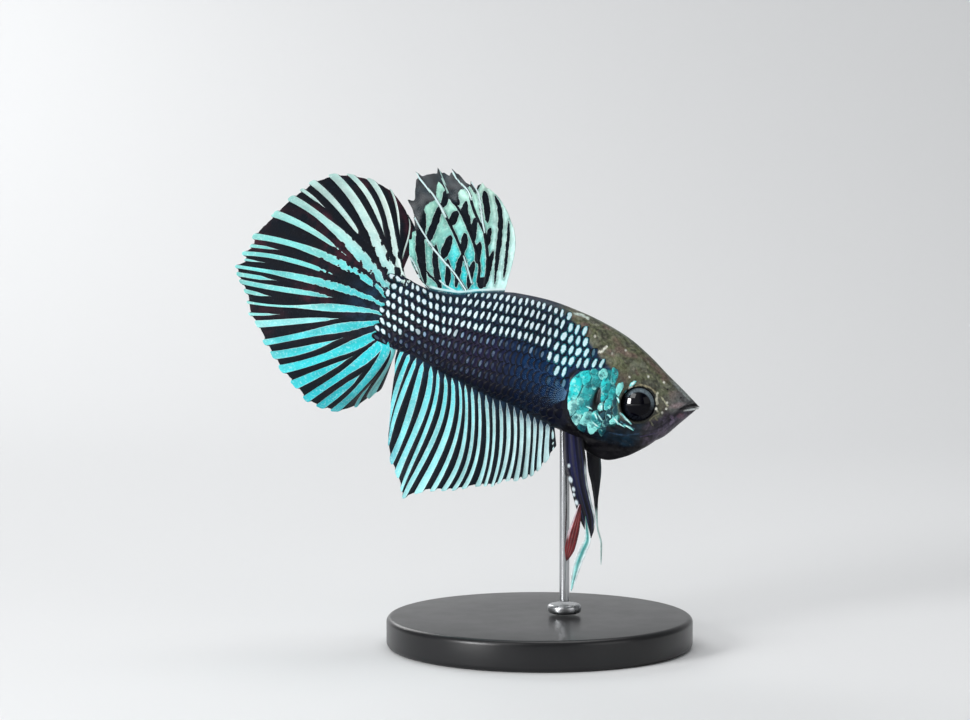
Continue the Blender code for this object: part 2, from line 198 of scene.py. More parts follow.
def turn_out(ob):
    bm = bmesh.new()
    bm.from_mesh(ob.data)
    bmesh.ops.recalc_face_normals(bm, faces=bm.faces)
    if bm.calc_volume(signed=True) < 0:
        bmesh.ops.reverse_faces(bm, faces=bm.faces)
    bm.to_mesh(ob.data)
    bm.free()


def grid_faces(nu, nv, start=0, wrap_v=False, flip=False):
    """Quads of an nu by nv grid of points, laid out row by row."""
    i, j = np.meshgrid(np.arange(nu - 1), np.arange(nv if wrap_v else nv - 1), indexing="ij")
    j2 = (j + 1) % nv
    a, b, c, d = i * nv + j, i * nv + j2, (i + 1) * nv + j2, (i + 1) * nv + j
    q = np.stack([a, b, c, d], -1).reshape(-1, 4) + start
    return q[:, ::-1] if flip else q


def grid_normals(p, wrap=False):
    """Unit normals of a grid of points (nu, nv, 3)."""
    du = np.gradient(p, axis=0)
    if wrap:
        dv = (np.roll(p, -1, 1) - np.roll(p, 1, 1)) / 2
    else:
        dv = np.gradient(p, axis=1)
    n = np.cross(du, dv)
    return n / np.maximum(np.linalg.norm(n, axis=-1, keepdims=True), 1e-12)


def double_sheet(name, mid, half, attrs, material, uv_scale=(1.0, 1.0)):
    """A closed thin sheet about the grid mid (nu, nv, 3) in fish-frame mm, half its thickness at each point. The two faces have their own halves of the map."""
    nu, nv = mid.shape[:2]
    n = grid_normals(mid)
    front = mid + n * half[..., None]
    back = mid - n * half[..., None]
    pts = to_world(np.concatenate([front.reshape(-1, 3), back.reshape(-1, 3)]))
    m = nu * nv
    f = grid_faces(nu, nv, 0, flip=True)
    b = grid_faces(nu, nv, m)
    ring = [(0, j) for j in range(nv)] + [(i, nv - 1) for i in range(1, nu)] + [(nu - 1, j) for j in range(nv - 2, -1, -1)] + [(i, 0) for i in range(nu - 2, 0, -1)]
    idx = np.array([i * nv + j for i, j in ring])
    nxt = np.roll(idx, -1)
    rim = np.stack([idx, nxt, nxt + m, idx + m], -1)
    faces = np.concatenate([f, b, rim])
    # arc lengths give the map its proportions
    u = np.concatenate([[0], np.cumsum(np.linalg.norm(np.diff(mid[:, nv * 2 // 3], axis=0), axis=1))])
    v = np.concatenate([[0], np.cumsum(np.linalg.norm(np.diff(mid[nu // 2], axis=0), axis=1))])
    U, V = np.meshgrid(u / max(u[-1], 1e-9), v / max(v[-1], 1e-9), indexing="ij")
    uv_f = np.stack([0.01 + 0.98 * U, 0.01 + 0.475 * V], -1).reshape(-1, 2)
    uv_b = np.stack([0.01 + 0.98 * U, 0.515 + 0.475 * V], -1).reshape(-1, 2)
    both = np.concatenate([uv_f, uv_b])
    loop_uv = both[faces.ravel()].reshape(len(faces), 4, 2)
    k = len(f) + len(b)
    # the rim takes a thin strip beside the front's edge
    rim_uv = both[np.stack([idx, nxt, nxt, idx], -1)].reshape(-1, 4, 2).copy()
    rim_uv[:, 2:, 1] += 0.004
    loop_uv[k:] = rim_uv
    full = {key: np.concatenate([np.asarray(val).reshape(m, *np.asarray(val).shape[2:])] * 2) for key, val in attrs.items()}
    return make_mesh(name, pts, faces, full, loop_uv=loop_uv.reshape(-1, 2), material=material)


# ------------------------------------------------------------------ materials
class Nodes:
    """Short ways to lay out a material's nodes."""

    def __init__(self, name):
        self.m = bpy.data.materials.new(name)
        self.m.use_nodes = True
        self.t = self.m.node_tree
        self.p = self.t.nodes["Principled BSDF"]

    def new(self, kind, **props):
        n = self.t.nodes.new(kind)
        for k, v in props.items():
            setattr(n, k, v)
        return n

    def link(self, a, b):
        self.t.links.new(a, b)
        return a

    def attr(self, name, colour=False):
        n = self.new("ShaderNodeAttribute", attribute_name=name, attribute_type="GEOMETRY")
        return n.outputs["Color" if colour else "Fac"]

    def math(self, op, a, b=None, c=None, clamp=False):
        n = self.new("ShaderNodeMath", operation=op, use_clamp=clamp)
        for i, x in enumerate((a, b, c)):
            if x is None:
                continue
            if isinstance(x, (int, float)):
                n.inputs[i].default_value = x
            else:
                self.link(x, n.inputs[i])
        return n.outputs[0]

    def ramp(self, x, a, b, lo_=0.0, hi_=1.0, kind="SMOOTHSTEP"):
        n = self.new("ShaderNodeMapRange", interpolation_type=kind)
        self.link(x, n.inputs["Value"])
        n.inputs["From Min"].default_value, n.inputs["From Max"].default_value = a, b
        n.inputs["To Min"].default_value, n.inputs["To Max"].default_value = lo_, hi_
        return n.outputs["Result"]

    def mix(self, fac, a, b, blend="MIX"):
        n = self.new("ShaderNodeMix", data_type="RGBA", blend_type=blend)
        for sock, x in (("Factor", fac), ("A", a), ("B", b)):
            s = [i for i in n.inputs if i.name == sock and i.type == ("VALUE" if sock == "Factor" else "RGBA")][0]
            if isinstance(x, (int, float)):
                s.default_value = x
            elif hasattr(x, "links"):
                self.link(x, s)
            else:
                s.default_value = (*[float(v) for v in x], 1.0)
        return [o for o in n.outputs if o.type == "RGBA"][0]

    def noise(self, scale, detail=2.0, rough=0.5, vector=None, distortion=0.0):
        n = self.new("ShaderNodeTexNoise")
        n.inputs["Scale"].default_value = scale
        n.inputs["Detail"].default_value = detail
        n.inputs["Roughness"].default_value = rough
        n.inputs["Distortion"].default_value = distortion
        if vector is None:
            vector = self.coords()
        self.link(vector, n.inputs["Vector"])
        return n.outputs["Fac"]

    def voronoi(self, scale, feature="F1", vector=None):
        n = self.new("ShaderNodeTexVoronoi", feature=feature)
        n.inputs["Scale"].default_value = scale
        self.link(vector if vector is not None else self.coords(), n.inputs["Vector"])
        return n.outputs["Distance"]

    def coords(self):
        if not hasattr(self, "_c"):
            self._c = self.new("ShaderNodeTexCoord").outputs["Object"]
        return self._c

    def combine(self, x, y, z=0.0):
        n = self.new("ShaderNodeCombineXYZ")
        for i, v in enumerate((x, y, z)):
            if isinstance(v, (int, float)):
                n.inputs[i].default_value = v
            else:
                self.link(v, n.inputs[i])
        return n.outputs[0]

    def bump(self, height, strength=0.3, distance=0.0001):
        n = self.new("ShaderNodeBump")
        n.inputs["Strength"].default_value = strength
        n.inputs["Distance"].default_value = distance
        self.link(height, n.inputs["Height"])
        self.link(n.outputs["Normal"], self.p.inputs["Normal"])
        return n

    def set(self, **values):
        for k, v in values.items():
            sock = self.p.inputs[k.replace("_", " ")]
            if hasattr(v, "links"):
                self.link(v, sock)
            else:
                sock.default_value = v if not hasattr(v, "__len__") else (*[float(x) for x in v], 1.0)
        return self


# ------------------------------------------------------------------ the body's surface
BODY_S = (0.0, 1.5, 3.2, 5.0, 8.0, 11.3, 14.5, 18.0, 22.0, 27.0, 31.5, 34.8, 38.0, 40.6, 42.9)
TOP = (0.22, 1.05, 1.95, 2.85, 4.45, 5.85, 6.65, 7.15, 7.38, 6.95, 5.55, 4.25, 3.85, 4.15, 4.35)
BOTTOM = (-0.35, -2.75, -5.35, -6.75, -7.75, -8.30, -8.72, -8.35, -7.55, -7.10, -6.45, -5.85, -5.30, -5.10, -4.95)
WIDTH = (0.95, 1.75, 2.35, 2.80, 3.35, 3.72, 3.90, 3.72, 3.45, 3.05, 2.50, 2.00, 1.45, 0.95, 0.42)
MIDDLE = (-0.10, -0.75, -1.45, -1.95, -2.35, -2.45, -2.25, -1.75, -1.20, -0.70, -0.60, -0.70, -0.80, -0.80, -0.80)
MOUTH_BACK, MOUTH_DROP = 1.75, 0.62


def body_base(s, a):
    """The body's smooth surface at s and angle a, 0 on the back and pi on the belly, positive on the left."""
    s, a = np.broadcast_arrays(np.asarray(s, float), np.asarray(a, float))
    t, b, w, m = curve(s, BODY_S, TOP), curve(s, BODY_S, BOTTOM), curve(s, BODY_S, WIDTH), curve(s, BODY_S, MIDDLE)
    c, q = np.cos(a), np.sin(a)
    up = curve(s, (0, 4, 12, 22, 43), (2.1, 2.25, 2.2, 2.0, 1.9))
    low = curve(s, (0, 5, 14, 24, 43), (2.0, 2.15, 2.05, 1.85, 1.8))
    n = np.where(c >= 0, up, low)
    h = np.where(c >= 0, t - m, m - b) * np.sign(c) * np.abs(c) ** (2 / n) + m
    y = w * np.sign(q) * np.abs(q) ** (2 / n)
    k = (y / np.maximum(w, 0.1)) ** 2 * np.exp(-s / 1.6)
    ss = s + MOUTH_BACK * k
    h = h - MOUTH_DROP * k
    # the black gill membrane hangs below the throat as a soft keel
    keel = curve(s, (3.9, 5.2, 7.0, 9.4, 11.6, 13.4, 15.6), (0.0, 0.75, 1.75, 2.45, 1.95, 0.95, 0.0))
    h = h - keel * np.exp(-((y / 1.15) ** 2)) * (c < 0)
    ss = ss - 0.055 * (h + 0.5) ** 2 * smooth(39.5, 42.9, s)
    return np.stack([ss, h, y], -1)


GILL = smooth_loop([(11.2, -7.55), (9.7, -6.0), (9.2, -3.2), (9.9, -0.4), (11.6, 1.55), (13.4, 1.35), (15.1, 0.52), (16.6, -0.45), (17.1, -2.5), (16.65, -4.5), (15.65, -6.2), (14.1, -7.45), (12.4, -7.85)], 52)
PREOPERCLE = [(13.0, -0.7), (13.35, -1.9), (13.15, -3.2), (12.4, -4.4), (11.0, -5.6), (9.3, -6.3)]
LIP_CREASE = [(0.9, 0.75), (1.5, 0.15), (2.1, -0.7), (2.75, -1.65), (3.3, -2.7)]
JAW_CREASE = [(2.1, -0.85), (2.9, -2.2), (4.0, -3.7), (5.4, -4.9), (7.4, -5.6)]
LOWER_JAW = [(1.2, -1.5), (2.4, -2.7), (3.6, -4.3), (5.2, -5.6), (7.6, -6.5)]
NOSTRILS = ((2.75, 0.55, 0.12), (4.75, 1.05, 0.14))
PORES = ((7.71, 1.87), (5.50, 1.77), (11.52, 4.19), (10.06, 1.10), (15.87, 4.68), (4.32, -0.58), (4.20, -1.37), (4.54, -2.02), (5.44, -1.77), (13.1, 3.3))
LIP_WHITE = [(-0.1, -0.10), (0.5, -0.40), (1.01, -0.67), (1.98, -1.05)]
LIP_DARK = [(0.2, 0.30), (0.75, 0.10), (1.19, -0.13), (2.02, -0.66), (2.5, -1.05)]


def relief(s, h, y):
    """How far the skin stands off its smooth base, from the features of each side."""
    side = smooth(0.15, 0.7, np.abs(y))
    d = np.zeros(np.shape(s))
    gill = outline_distance(s, h, GILL)
    rear = smooth(10.4, 13.2, s)
    d += 0.20 * smooth(-0.10, 0.08, gill) * smooth(0.2, 3.2, 3.4 - np.clip(gill, 0, 3.2)) * rear
    d -= 0.20 * np.exp(-((gill + 0.38) / 0.32) ** 2) * rear
    pre, along = line_distance(s, h, PREOPERCLE)
    deep = smooth(0, 0.18, along) * (1 - 0.75 * smooth(0.45, 0.75, along)) * smooth(1.05, 0.9, along)
    d -= 0.34 * deep * np.exp(-((pre / 0.30) ** 2))
    d += 0.10 * np.exp(-(((s - 11.0) / 2.2) ** 2 + ((h + 3.0) / 2.4) ** 2))
    ring = np.hypot(s - EYE_S, h - EYE_H)
    d += 0.055 * np.exp(-(((ring - 2.50) / 0.20) ** 2)) + 0.03 * np.exp(-(((ring - 3.2) / 0.45) ** 2)) - 0.05 * np.exp(-(((ring - 2.86) / 0.18) ** 2))
    d -= 1.75 * smooth(2.34, 2.04, ring)
    d += 0.05 * smooth(1.0, 3.4, s) * np.exp(-((h - 0.2 - 0.35 * s) / 0.9) ** 2) * smooth(8, 5, s)
    # the mouth's corner: a fold above it, the lower lip and the fold behind it
    dark, along = line_distance(s, h, LIP_DARK)
    d -= 0.17 * np.exp(-((dark / 0.15) ** 2)) * smooth(0.0, 0.12, along) * smooth(1.0, 0.75, along)
    pale, along = line_distance(s, h, LIP_WHITE)
    d += 0.07 * np.exp(-((pale / 0.16) ** 2)) * smooth(1.0, 0.8, along)
    d += 0.10 * np.exp(-((np.hypot((s - 2.6) / 0.9, (h + 0.25 + 0.35 * (s - 2.6)) / 0.42)) ** 2))
    lip, along = line_distance(s, h, LIP_CREASE)
    d -= 0.07 * np.exp(-((lip / 0.17) ** 2)) * smooth(0.0, 0.25, along)
    jaw, along = line_distance(s, h, JAW_CREASE)
    d -= 0.08 * np.exp(-((jaw / 0.20) ** 2)) * smooth(1.0, 0.75, along)
    d += 0.06 * np.exp(-(((jaw - 0.65) / 0.4) ** 2)) * smooth(1.0, 0.75, along)
    low, along = line_distance(s, h, LOWER_JAW)
    d -= 0.06 * np.exp(-((low / 0.2) ** 2)) * smooth(0.0, 0.3, along) * smooth(1.0, 0.8, along)
    for ns, nh, nr in NOSTRILS:
        r = np.hypot(s - ns, h - nh)
        d += 0.05 * np.exp(-(((r - nr * 1.4) / 0.09) ** 2)) - 0.13 * smooth(nr * 1.1, nr * 0.5, r)
    for ns, nh in PORES:
        r = np.hypot(s - ns, h - nh)
        d += 0.025 * np.exp(-((r / 0.14) ** 2))
    # faint gill rays under the throat, and the soft lumps of the head
    k = h + 0.22 * s
    d += 0.014 * np.sin(k * 6.4 + 0.12 * s * s * 0.2) * smooth(-5.9, -6.6, h) * smooth(4.6, 6.6, s) * smooth(14.8, 12.5, s)
    d += 0.022 * noise2(s * 1.3, h * 1.3, 3) + 0.012 * noise2(s * 3.1, h * 3.1, 4)
    # small scales of the head's top and cheek, as low rounded bumps
    q = 0.5 + 0.5 * np.cos(s * 7.4 + 1.2 * np.sin(h * 2.2)) * np.cos((h - 0.12 * s) * 6.2 + 1.0 * np.sin(s * 1.7))
    d += 0.020 * q * smooth(3.5, 6.0, s) * smooth(-0.4, 0.8, h - 0.06 * s) * smooth(21, 17, s)
    # a faint hump of muscle where the pectoral fin joins
    d += 0.16 * np.exp(-(((s - 17.4) / 0.75) ** 2 + ((h + 4.2) / 1.0) ** 2))
    return d * side


def surface(s, a, lift=0.0):
    """The skin's points and outward normals, as fish-frame mm."""
    e = 0.03
    p = body_base(s, a)
    r = np.maximum(np.linalg.norm(body_base(s, np.asarray(a) + 0.01) - p, axis=-1) / 0.01, 0.2)
    pa = body_base(s, np.asarray(a) + e / r)
    ps = body_base(np.asarray(s) + e, a)
    n = np.cross(pa - p, ps - p)
    n = n / np.maximum(np.linalg.norm(n, axis=-1, keepdims=True), 1e-9)
    outward = np.sign(np.sum(n * np.stack([np.zeros_like(p[..., 0]), p[..., 1] - curve(s, BODY_S, MIDDLE), p[..., 2]], -1), -1, keepdims=True))
    n = n * np.where(outward == 0, 1, outward)
    d = relief(p[..., 0], p[..., 1], p[..., 2]) - COAT + lift
    return p + n * np.asarray(d)[..., None], n


def angle_at(s, h, sign):
    """The angle that has height h at section s."""
    s, h = float(s), float(h)
    m, t, b = float(curve(s, BODY_S, MIDDLE)), float(curve(s, BODY_S, TOP)), float(curve(s, BODY_S, BOTTOM))
    n = float(curve(s, (0, 4, 12, 22, 43), (2.1, 2.25, 2.2, 2.0, 1.9))) if h >= m else float(curve(s, (0, 5, 14, 24, 43), (2.0, 2.15, 2.05, 1.85, 1.8)))
    x = (h - m) / ((t - m) if h >= m else (m - b))
    x = max(-1.0, min(1.0, x))
    return sign * math.acos(math.copysign(abs(x) ** (n / 2), x))


# ------------------------------------------------------------------ markings, shared by skin and scales
OLIVE, UMBER, GREYGREEN, SHADE = srgb(98, 104, 78), srgb(112, 98, 88), srgb(116, 120, 104), srgb(62, 64, 56)
SNOUT_GREY, JAW_GREY = srgb(98, 100, 102), srgb(80, 72, 92)
BACK_BLUE, BELLY_BLUE, PURPLE, BLACK_BLUE = srgb(24, 48, 78), srgb(10, 50, 92), srgb(32, 28, 62), srgb(4, 7, 28)
# the last of these is the throat's near-black, also used as painted shade in the gill cover's folds and groove
CHEEK_BLUE, TURQ, THROAT_BLACK_AND_SHADE = srgb(12, 36, 52), srgb(24, 120, 124), srgb(3, 2, 8)
PALE_LIP, GOLD = srgb(214, 220, 222), srgb(168, 164, 132)
# bright strokes of the head: points, half width in mm, colour
STROKES = (
    (((19.11, 6.64), (18.04, 6.71), (17.30, 6.54)), 0.20, (226, 246, 236)), (((14.95, 2.90), (14.43, 3.17), (14.02, 3.90)), 0.20, (250, 252, 240)),
    (((5.92, 0.13), (5.74, -0.63), (5.52, -1.11)), 0.20, (206, 206, 186)), (((9.62, -0.26), (9.24, 0.69)), 0.20, (216, 224, 216)),
    (((8.94, 0.17), (8.26, 0.60), (7.17, 0.61), (6.21, 0.17)), 0.13, (176, 168, 136)), (((5.82, -3.53), (5.49, -2.88), (4.87, -2.27)), 0.10, (122, 120, 98)),
    (((5.90, -3.29), (5.13, -3.99)), 0.09, (104, 104, 88)), (((9.73, -3.71), (8.87, -4.25), (7.93, -4.63)), 0.11, (180, 214, 216)),
    (((9.25, -4.78), (8.22, -4.99), (7.36, -5.12)), 0.12, (84, 150, 172)), (((10.64, -4.28), (9.41, -5.11)), 0.13, (120, 210, 212)),
    (((9.9, -0.9), (9.45, -1.9), (9.75, -2.8)), 0.14, (70, 176, 180)), (((3.3, -2.1), (2.7, -2.55), (3.0, -3.1)), 0.22, (104, 92, 116)),
    (((5.30, -0.12), (4.75, -0.52), (4.19, -0.90)), 0.15, (188, 188, 160)), (((5.53, -1.64), (5.22, -2.02)), 0.15, (206, 206, 184)), (((5.36, -2.72), (4.85, -3.17)), 0.12, (108, 104, 84)),
    (((6.6, -5.55), (8.4, -6.35), (10.2, -6.6)), 0.13, (40, 66, 92)), (((4.6, -4.9), (6.2, -5.9)), 0.12, (70, 62, 96)))


def blend(c, colour, w):
    w = np.asarray(w, float)[..., None]
    return c * (1 - w) + np.asarray(colour) * w


def marking(s, h, y):
    """The ground colour of the body at a place in the side view."""
    s, h = np.asarray(s, float), np.asarray(h, float)
    c = np.zeros(s.shape + (3,)) + BACK_BLUE
    # lower flank: deep blue in front, purple-black behind
    low = smooth(2.2, -0.6, h)
    c = c * (1 - 0.35 * smooth(17, 22, s))[..., None]
    c = blend(c, BELLY_BLUE, low * smooth(29, 23, s))
    c = blend(c, PURPLE, low * smooth(23, 29, s))
    c = blend(c, srgb(18, 12, 34), low * smooth(27, 32, s) * 0.5)
    c = blend(c, BLACK_BLUE, smooth(-2.6, -6.0, h) * 0.9)
    c = blend(c, BLACK_BLUE, 0.5 * smooth(33, 39, s) * low)
    c = blend(c, srgb(60, 76, 78), smooth(5.8, 6.9, h) * smooth(25, 17, s) * 0.8)
    # head: mottled olive, umber and grey-green, shading to a greyer snout
    head_line = curve(s, (0, 6, 10, 12, 14, 16, 18, 22), (-9, -9, -9, 1.0, 2.1, 3.5, 5.1, 6.8))
    on_head = smooth(-0.35, 0.35, h - head_line) * smooth(21.8, 19.0, s)
    # over the back of the head the pattern runs on round the body instead of straight across it
    hn = h - 1.1 * np.abs(y)
    wx, wy = s + 0.5 * noise2(s * 0.9, hn * 0.9, 40), hn + 0.5 * noise2(s * 0.9 + 7, hn * 0.9, 41)
    n1, n2, n3 = noise2(wx * 0.75, wy * 0.9, 11), noise2(wx * 1.25 + 3, wy * 1.4, 12), noise2(wx * 2.6, wy * 2.6, 13)
    head = blend(np.zeros(s.shape + (3,)) + OLIVE, UMBER, smooth(-0.05, 0.6, n1))
    head = blend(head, GREYGREEN, smooth(0.0, 0.6, n2) * 0.8)
    head = blend(head, SHADE, smooth(-0.1, -0.7, n1 + 0.5 * n3) * 0.75)
    n4, n5 = noise2(wx * 4.6, wy * 5.2, 14), noise2(s * 9, hn * 9, 15)
    head = blend(head, srgb(134, 128, 112), smooth(0.35, 0.85, n4) * 0.45)
    head = blend(head, srgb(70, 62, 54), smooth(-0.35, -0.85, n4) * 0.45)
    head = head * (1.10 + 0.20 * n3 + 0.12 * n5)[..., None]
    c = blend(c, head, on_head)
    top = curve(s, BODY_S, TOP)
    # painted highlight: a pale sheen along the head's top line
    c = blend(c, srgb(116, 128, 116), on_head * smooth(0.50, 0.12, top - h) * smooth(2.0, 5.0, s) * 0.75)
    c = blend(c, SHADE, on_head * 0.50 * smooth(1.0, -0.6, h - 0.16 * s + 0.6))
    c = blend(c, SNOUT_GREY * (1 + 0.18 * n2)[..., None], on_head * smooth(5.2, 2.2, s))
    under = smooth(0.35, -0.5, h - curve(s, (0, 2, 4, 6, 10), (-0.3, -1.0, -2.2, -3.6, -4.5))) * smooth(12.5, 11.0, s)
    c = blend(c, JAW_GREY * (0.62 + 0.42 * n3 + 0.25 * n5)[..., None], under * smooth(8.5, 4.5, s))
    c = blend(c, CHEEK_BLUE * (0.75 + 0.45 * n2 + 0.3 * n3)[..., None], under * smooth(4.5, 7.0, s))
    c = blend(c, srgb(10, 10, 18), under * 0.7 * smooth(-0.2, 0.7, noise2(s * 0.8 + 2, h * 1.3, 63)))
    c = blend(c, srgb(168, 150, 152), smooth(1.0, 0.2, np.hypot((s - 2.9) / 1.25, (h + 0.45 + 0.45 * (s - 2.7)) / 0.55)) * 0.80)
    c = blend(c, srgb(150, 96, 112), smooth(1.0, 0.1, np.hypot((s - 2.0) / 0.8, (h + 1.75) / 0.55)) * 0.45)
    # painted highlight: a pale streak just under the snout's top line
    c = blend(c, srgb(160, 170, 168), on_head * smooth(0.34, 0.12, np.abs(top - h - 0.42 - 0.10 * n3)) * smooth(0.9, 1.6, s) * smooth(5.6, 3.6, s) * 0.75)
    lumps = smooth(0.15, 0.6, noise2(s * 1.5 + 4, h * 1.7, 62)) * under * smooth(7.0, 4.5, s)
    c = blend(c, srgb(104, 90, 110), 0.50 * lumps)
    c = blend(c, srgb(34, 26, 44), smooth(1.0, 0.3, np.hypot((s - 3.9) / 0.9, (h + 2.1) / 0.9)) * 0.7)
    # turquoise ground of the cheek and gill cover, between their plates
    gill = outline_distance(s, h, GILL)
    ring = np.hypot(s - EYE_S, h - EYE_H)
    t = np.maximum(smooth(0.20, 0.50, gill), smooth(0.2, -0.2, np.hypot((s - 10.7) / 0.9, (h + 2.2) / 1.5) - 1)) * smooth(-6.2, -5.0, h + 0.12 * (s - 12)) * smooth(2.5, 3.1, ring)
    t = t * (1 - smooth(-1.6, -0.7, h) * smooth(12.1, 11.3, s))
    deep = smooth(1.0, 0.45, np.hypot((s - 12.2) / 2.3, (h + 4.1) / 2.2))
    c = blend(c, srgb(34, 140, 142), t * (0.85 + 0.15 * n3) * (1 - deep))
    c = blend(c, srgb(4, 34, 44), t * deep)
    # painted shade in the preopercle's slot between the plates
    c = blend(c, srgb(2, 14, 20), smooth(1.12, 0.85, plate_norm(s, h, SLOT)))
    # painted shade in the fold round the gill cover's rear edge, and the black throat: partly the gill membrane's own
    # black, partly painted shade of the underside
    c = blend(c, THROAT_BLACK_AND_SHADE, np.exp(-(((gill + 0.32) / 0.34) ** 2)) * smooth(13.5, 14.8, s) * smooth(0.6, -0.4, h) * 0.95)
    c = blend(c, THROAT_BLACK_AND_SHADE, smooth(0.30, -0.25, h - curve(s, (2.4, 4.0, 6, 8.5, 11, 13, 15.5, 19, 23), (-5.4, -6.34, -7.19, -7.9, -8.0, -7.6, -7.1, -8.2, -9))) * smooth(2.2, 3.6, s) * smooth(23, 18, s))
    c = blend(c, BLACK_BLUE, smooth(15.6, 16.4, s) * smooth(21.5, 18.5, s) * smooth(-3.4, -5.2, h) * 0.9)
    # painted shade in the preopercle groove
    pre, along = line_distance(s, h, PREOPERCLE)
    c = blend(c, THROAT_BLACK_AND_SHADE, np.exp(-((pre / 0.30) ** 2)) * smooth(0, 0.12, along) * smooth(0.62, 0.42, along))
    # round the eye: an olive-dark band inside a thin dull gold arc
    c = blend(c, srgb(36, 38, 30), smooth(2.62, 2.45, ring))
    c = blend(c, srgb(10, 10, 14), smooth(2.36, 2.2, ring))
    # painted shade in the creases of the mouth and jaws
    lip, _ = line_distance(s, h, LIP_CREASE)
    c = blend(c, srgb(36, 32, 44), 0.5 * np.exp(-((lip / 0.14) ** 2)))
    jaw, along = line_distance(s, h, JAW_CREASE)
    c = blend(c, srgb(14, 12, 26), 0.7 * np.exp(-((jaw / 0.16) ** 2)) * smooth(1.0, 0.8, along))
    for pts, w, rgb in STROKES:
        d, along = line_distance(s, h, pts, 14)
        w_ = w * (0.75 + 0.5 * noise2(s * 3, h * 3, 21))
        c = blend(c, srgb(*rgb), smooth(w_ * 1.25, w_ * 0.6, d) * (0.85 + 0.15 * noise2(s * 5, h * 5, 22)))
    for i, (ps, ph) in enumerate(PORES):
        r = np.hypot(s - ps, h - ph)
        c = blend(c, srgb(242, 244, 232), (0.95 if i != 9 else 0.5) * smooth(0.21 - 0.012 * (i % 4), 0.09, r))
    for ns, nh, nr in NOSTRILS:
        c = blend(c, srgb(24, 22, 26), smooth(nr * 1.1, nr * 0.6, np.hypot(s - ns, h - nh)))
    # painted shade in the mouth's slit above the lower lip
    dark, along = line_distance(s, h, LIP_DARK)
    c = blend(c, srgb(8, 6, 12), smooth(1.0, 0.6, dark / (0.30 - 0.17 * along)) * smooth(0.0, 0.1, along))
    pale, along = line_distance(s, h, LIP_WHITE)
    c = blend(c, PALE_LIP, smooth(1.0, 0.55, pale / (0.19 - 0.08 * along)) * smooth(1.0, 0.9, along))
    return np.clip(c, 0, 1)


# the line below which the scales' pale flecks fade: partly their own colour, partly painted light from above
CUT = ((14, 15.6, 16.5, 18, 19.5, 20.5, 21.5, 24, 26.5, 29, 32, 33.5, 36, 38, 40, 42), (-0.2, -0.6, -1.7, -1.8, -1.2, -0.2, 1.0, 1.2, 1.5, 0.6, 0.2, -0.9, -1.3, -2.0, -2.8, -4.0))


def fleck_and_top_light_share(s, h):
    """How bright the pale fleck of a scale is at this place, from 0 to 1: partly the fleck's own colour, partly a
    painted highlight, full on the upper rows and fading below the line CUT, as light from above would pick them out.
    """
    b = smooth(-0.30, 0.35, h - curve(s, *CUT))
    nape = curve(s, (12, 13.2, 15.3, 16.5, 17.0, 18.6, 20, 23), (0.4, 1.8, 2.5, 3.9, 5.2, 5.9, 6.5, 8.5))
    return b * smooth(0.25, -0.15, h - nape) * smooth(13.0, 14.2, s)


# ------------------------------------------------------------------ skin
def skin_material():
    k = Nodes("skin")
    tint = k.attr("tint", True)
    fine = k.noise(900, 4, 0.6)
    speck = k.noise(2600, 2, 0.5)
    col = k.mix(k.ramp(fine, 0.35, 0.7, 0.0, 0.35), tint, (0.01, 0.01, 0.012), "MIX")
    col = k.mix(k.ramp(speck, 0.62, 0.80, 0.0, 0.10), col, (0.30, 0.32, 0.28), "SCREEN")
    pores = k.voronoi(2700)
    grain = k.noise(1900, 4, 0.7)
    col = k.mix(k.ramp(grain, 0.46, 0.64, 0.0, 0.62), col, (0.56, 0.50, 0.46), "MULTIPLY")
    col = k.mix(k.ramp(k.noise(1350, 5, 0.72), 0.54, 0.70, 0.0, 0.34), col, (1.9, 1.8, 1.55), "MULTIPLY")
    col = k.mix(k.ramp(pores, 0.42, 0.78, 0.0, 0.55), col, (0.42, 0.42, 0.42), "MULTIPLY")
    height = k.math("ADD", k.math("MULTIPLY", k.noise(3200, 3, 0.6), 0.6), k.math("MULTIPLY", pores, 0.5))
    k.bump(height, 0.45, 0.00008)
    k.set(Base_Color=col, Roughness=k.ramp(fine, 0.3, 0.7, 0.36, 0.52), Specular_IOR_Level=0.22, Coat_Weight=0.12, Coat_Roughness=0.2)
    return k.m


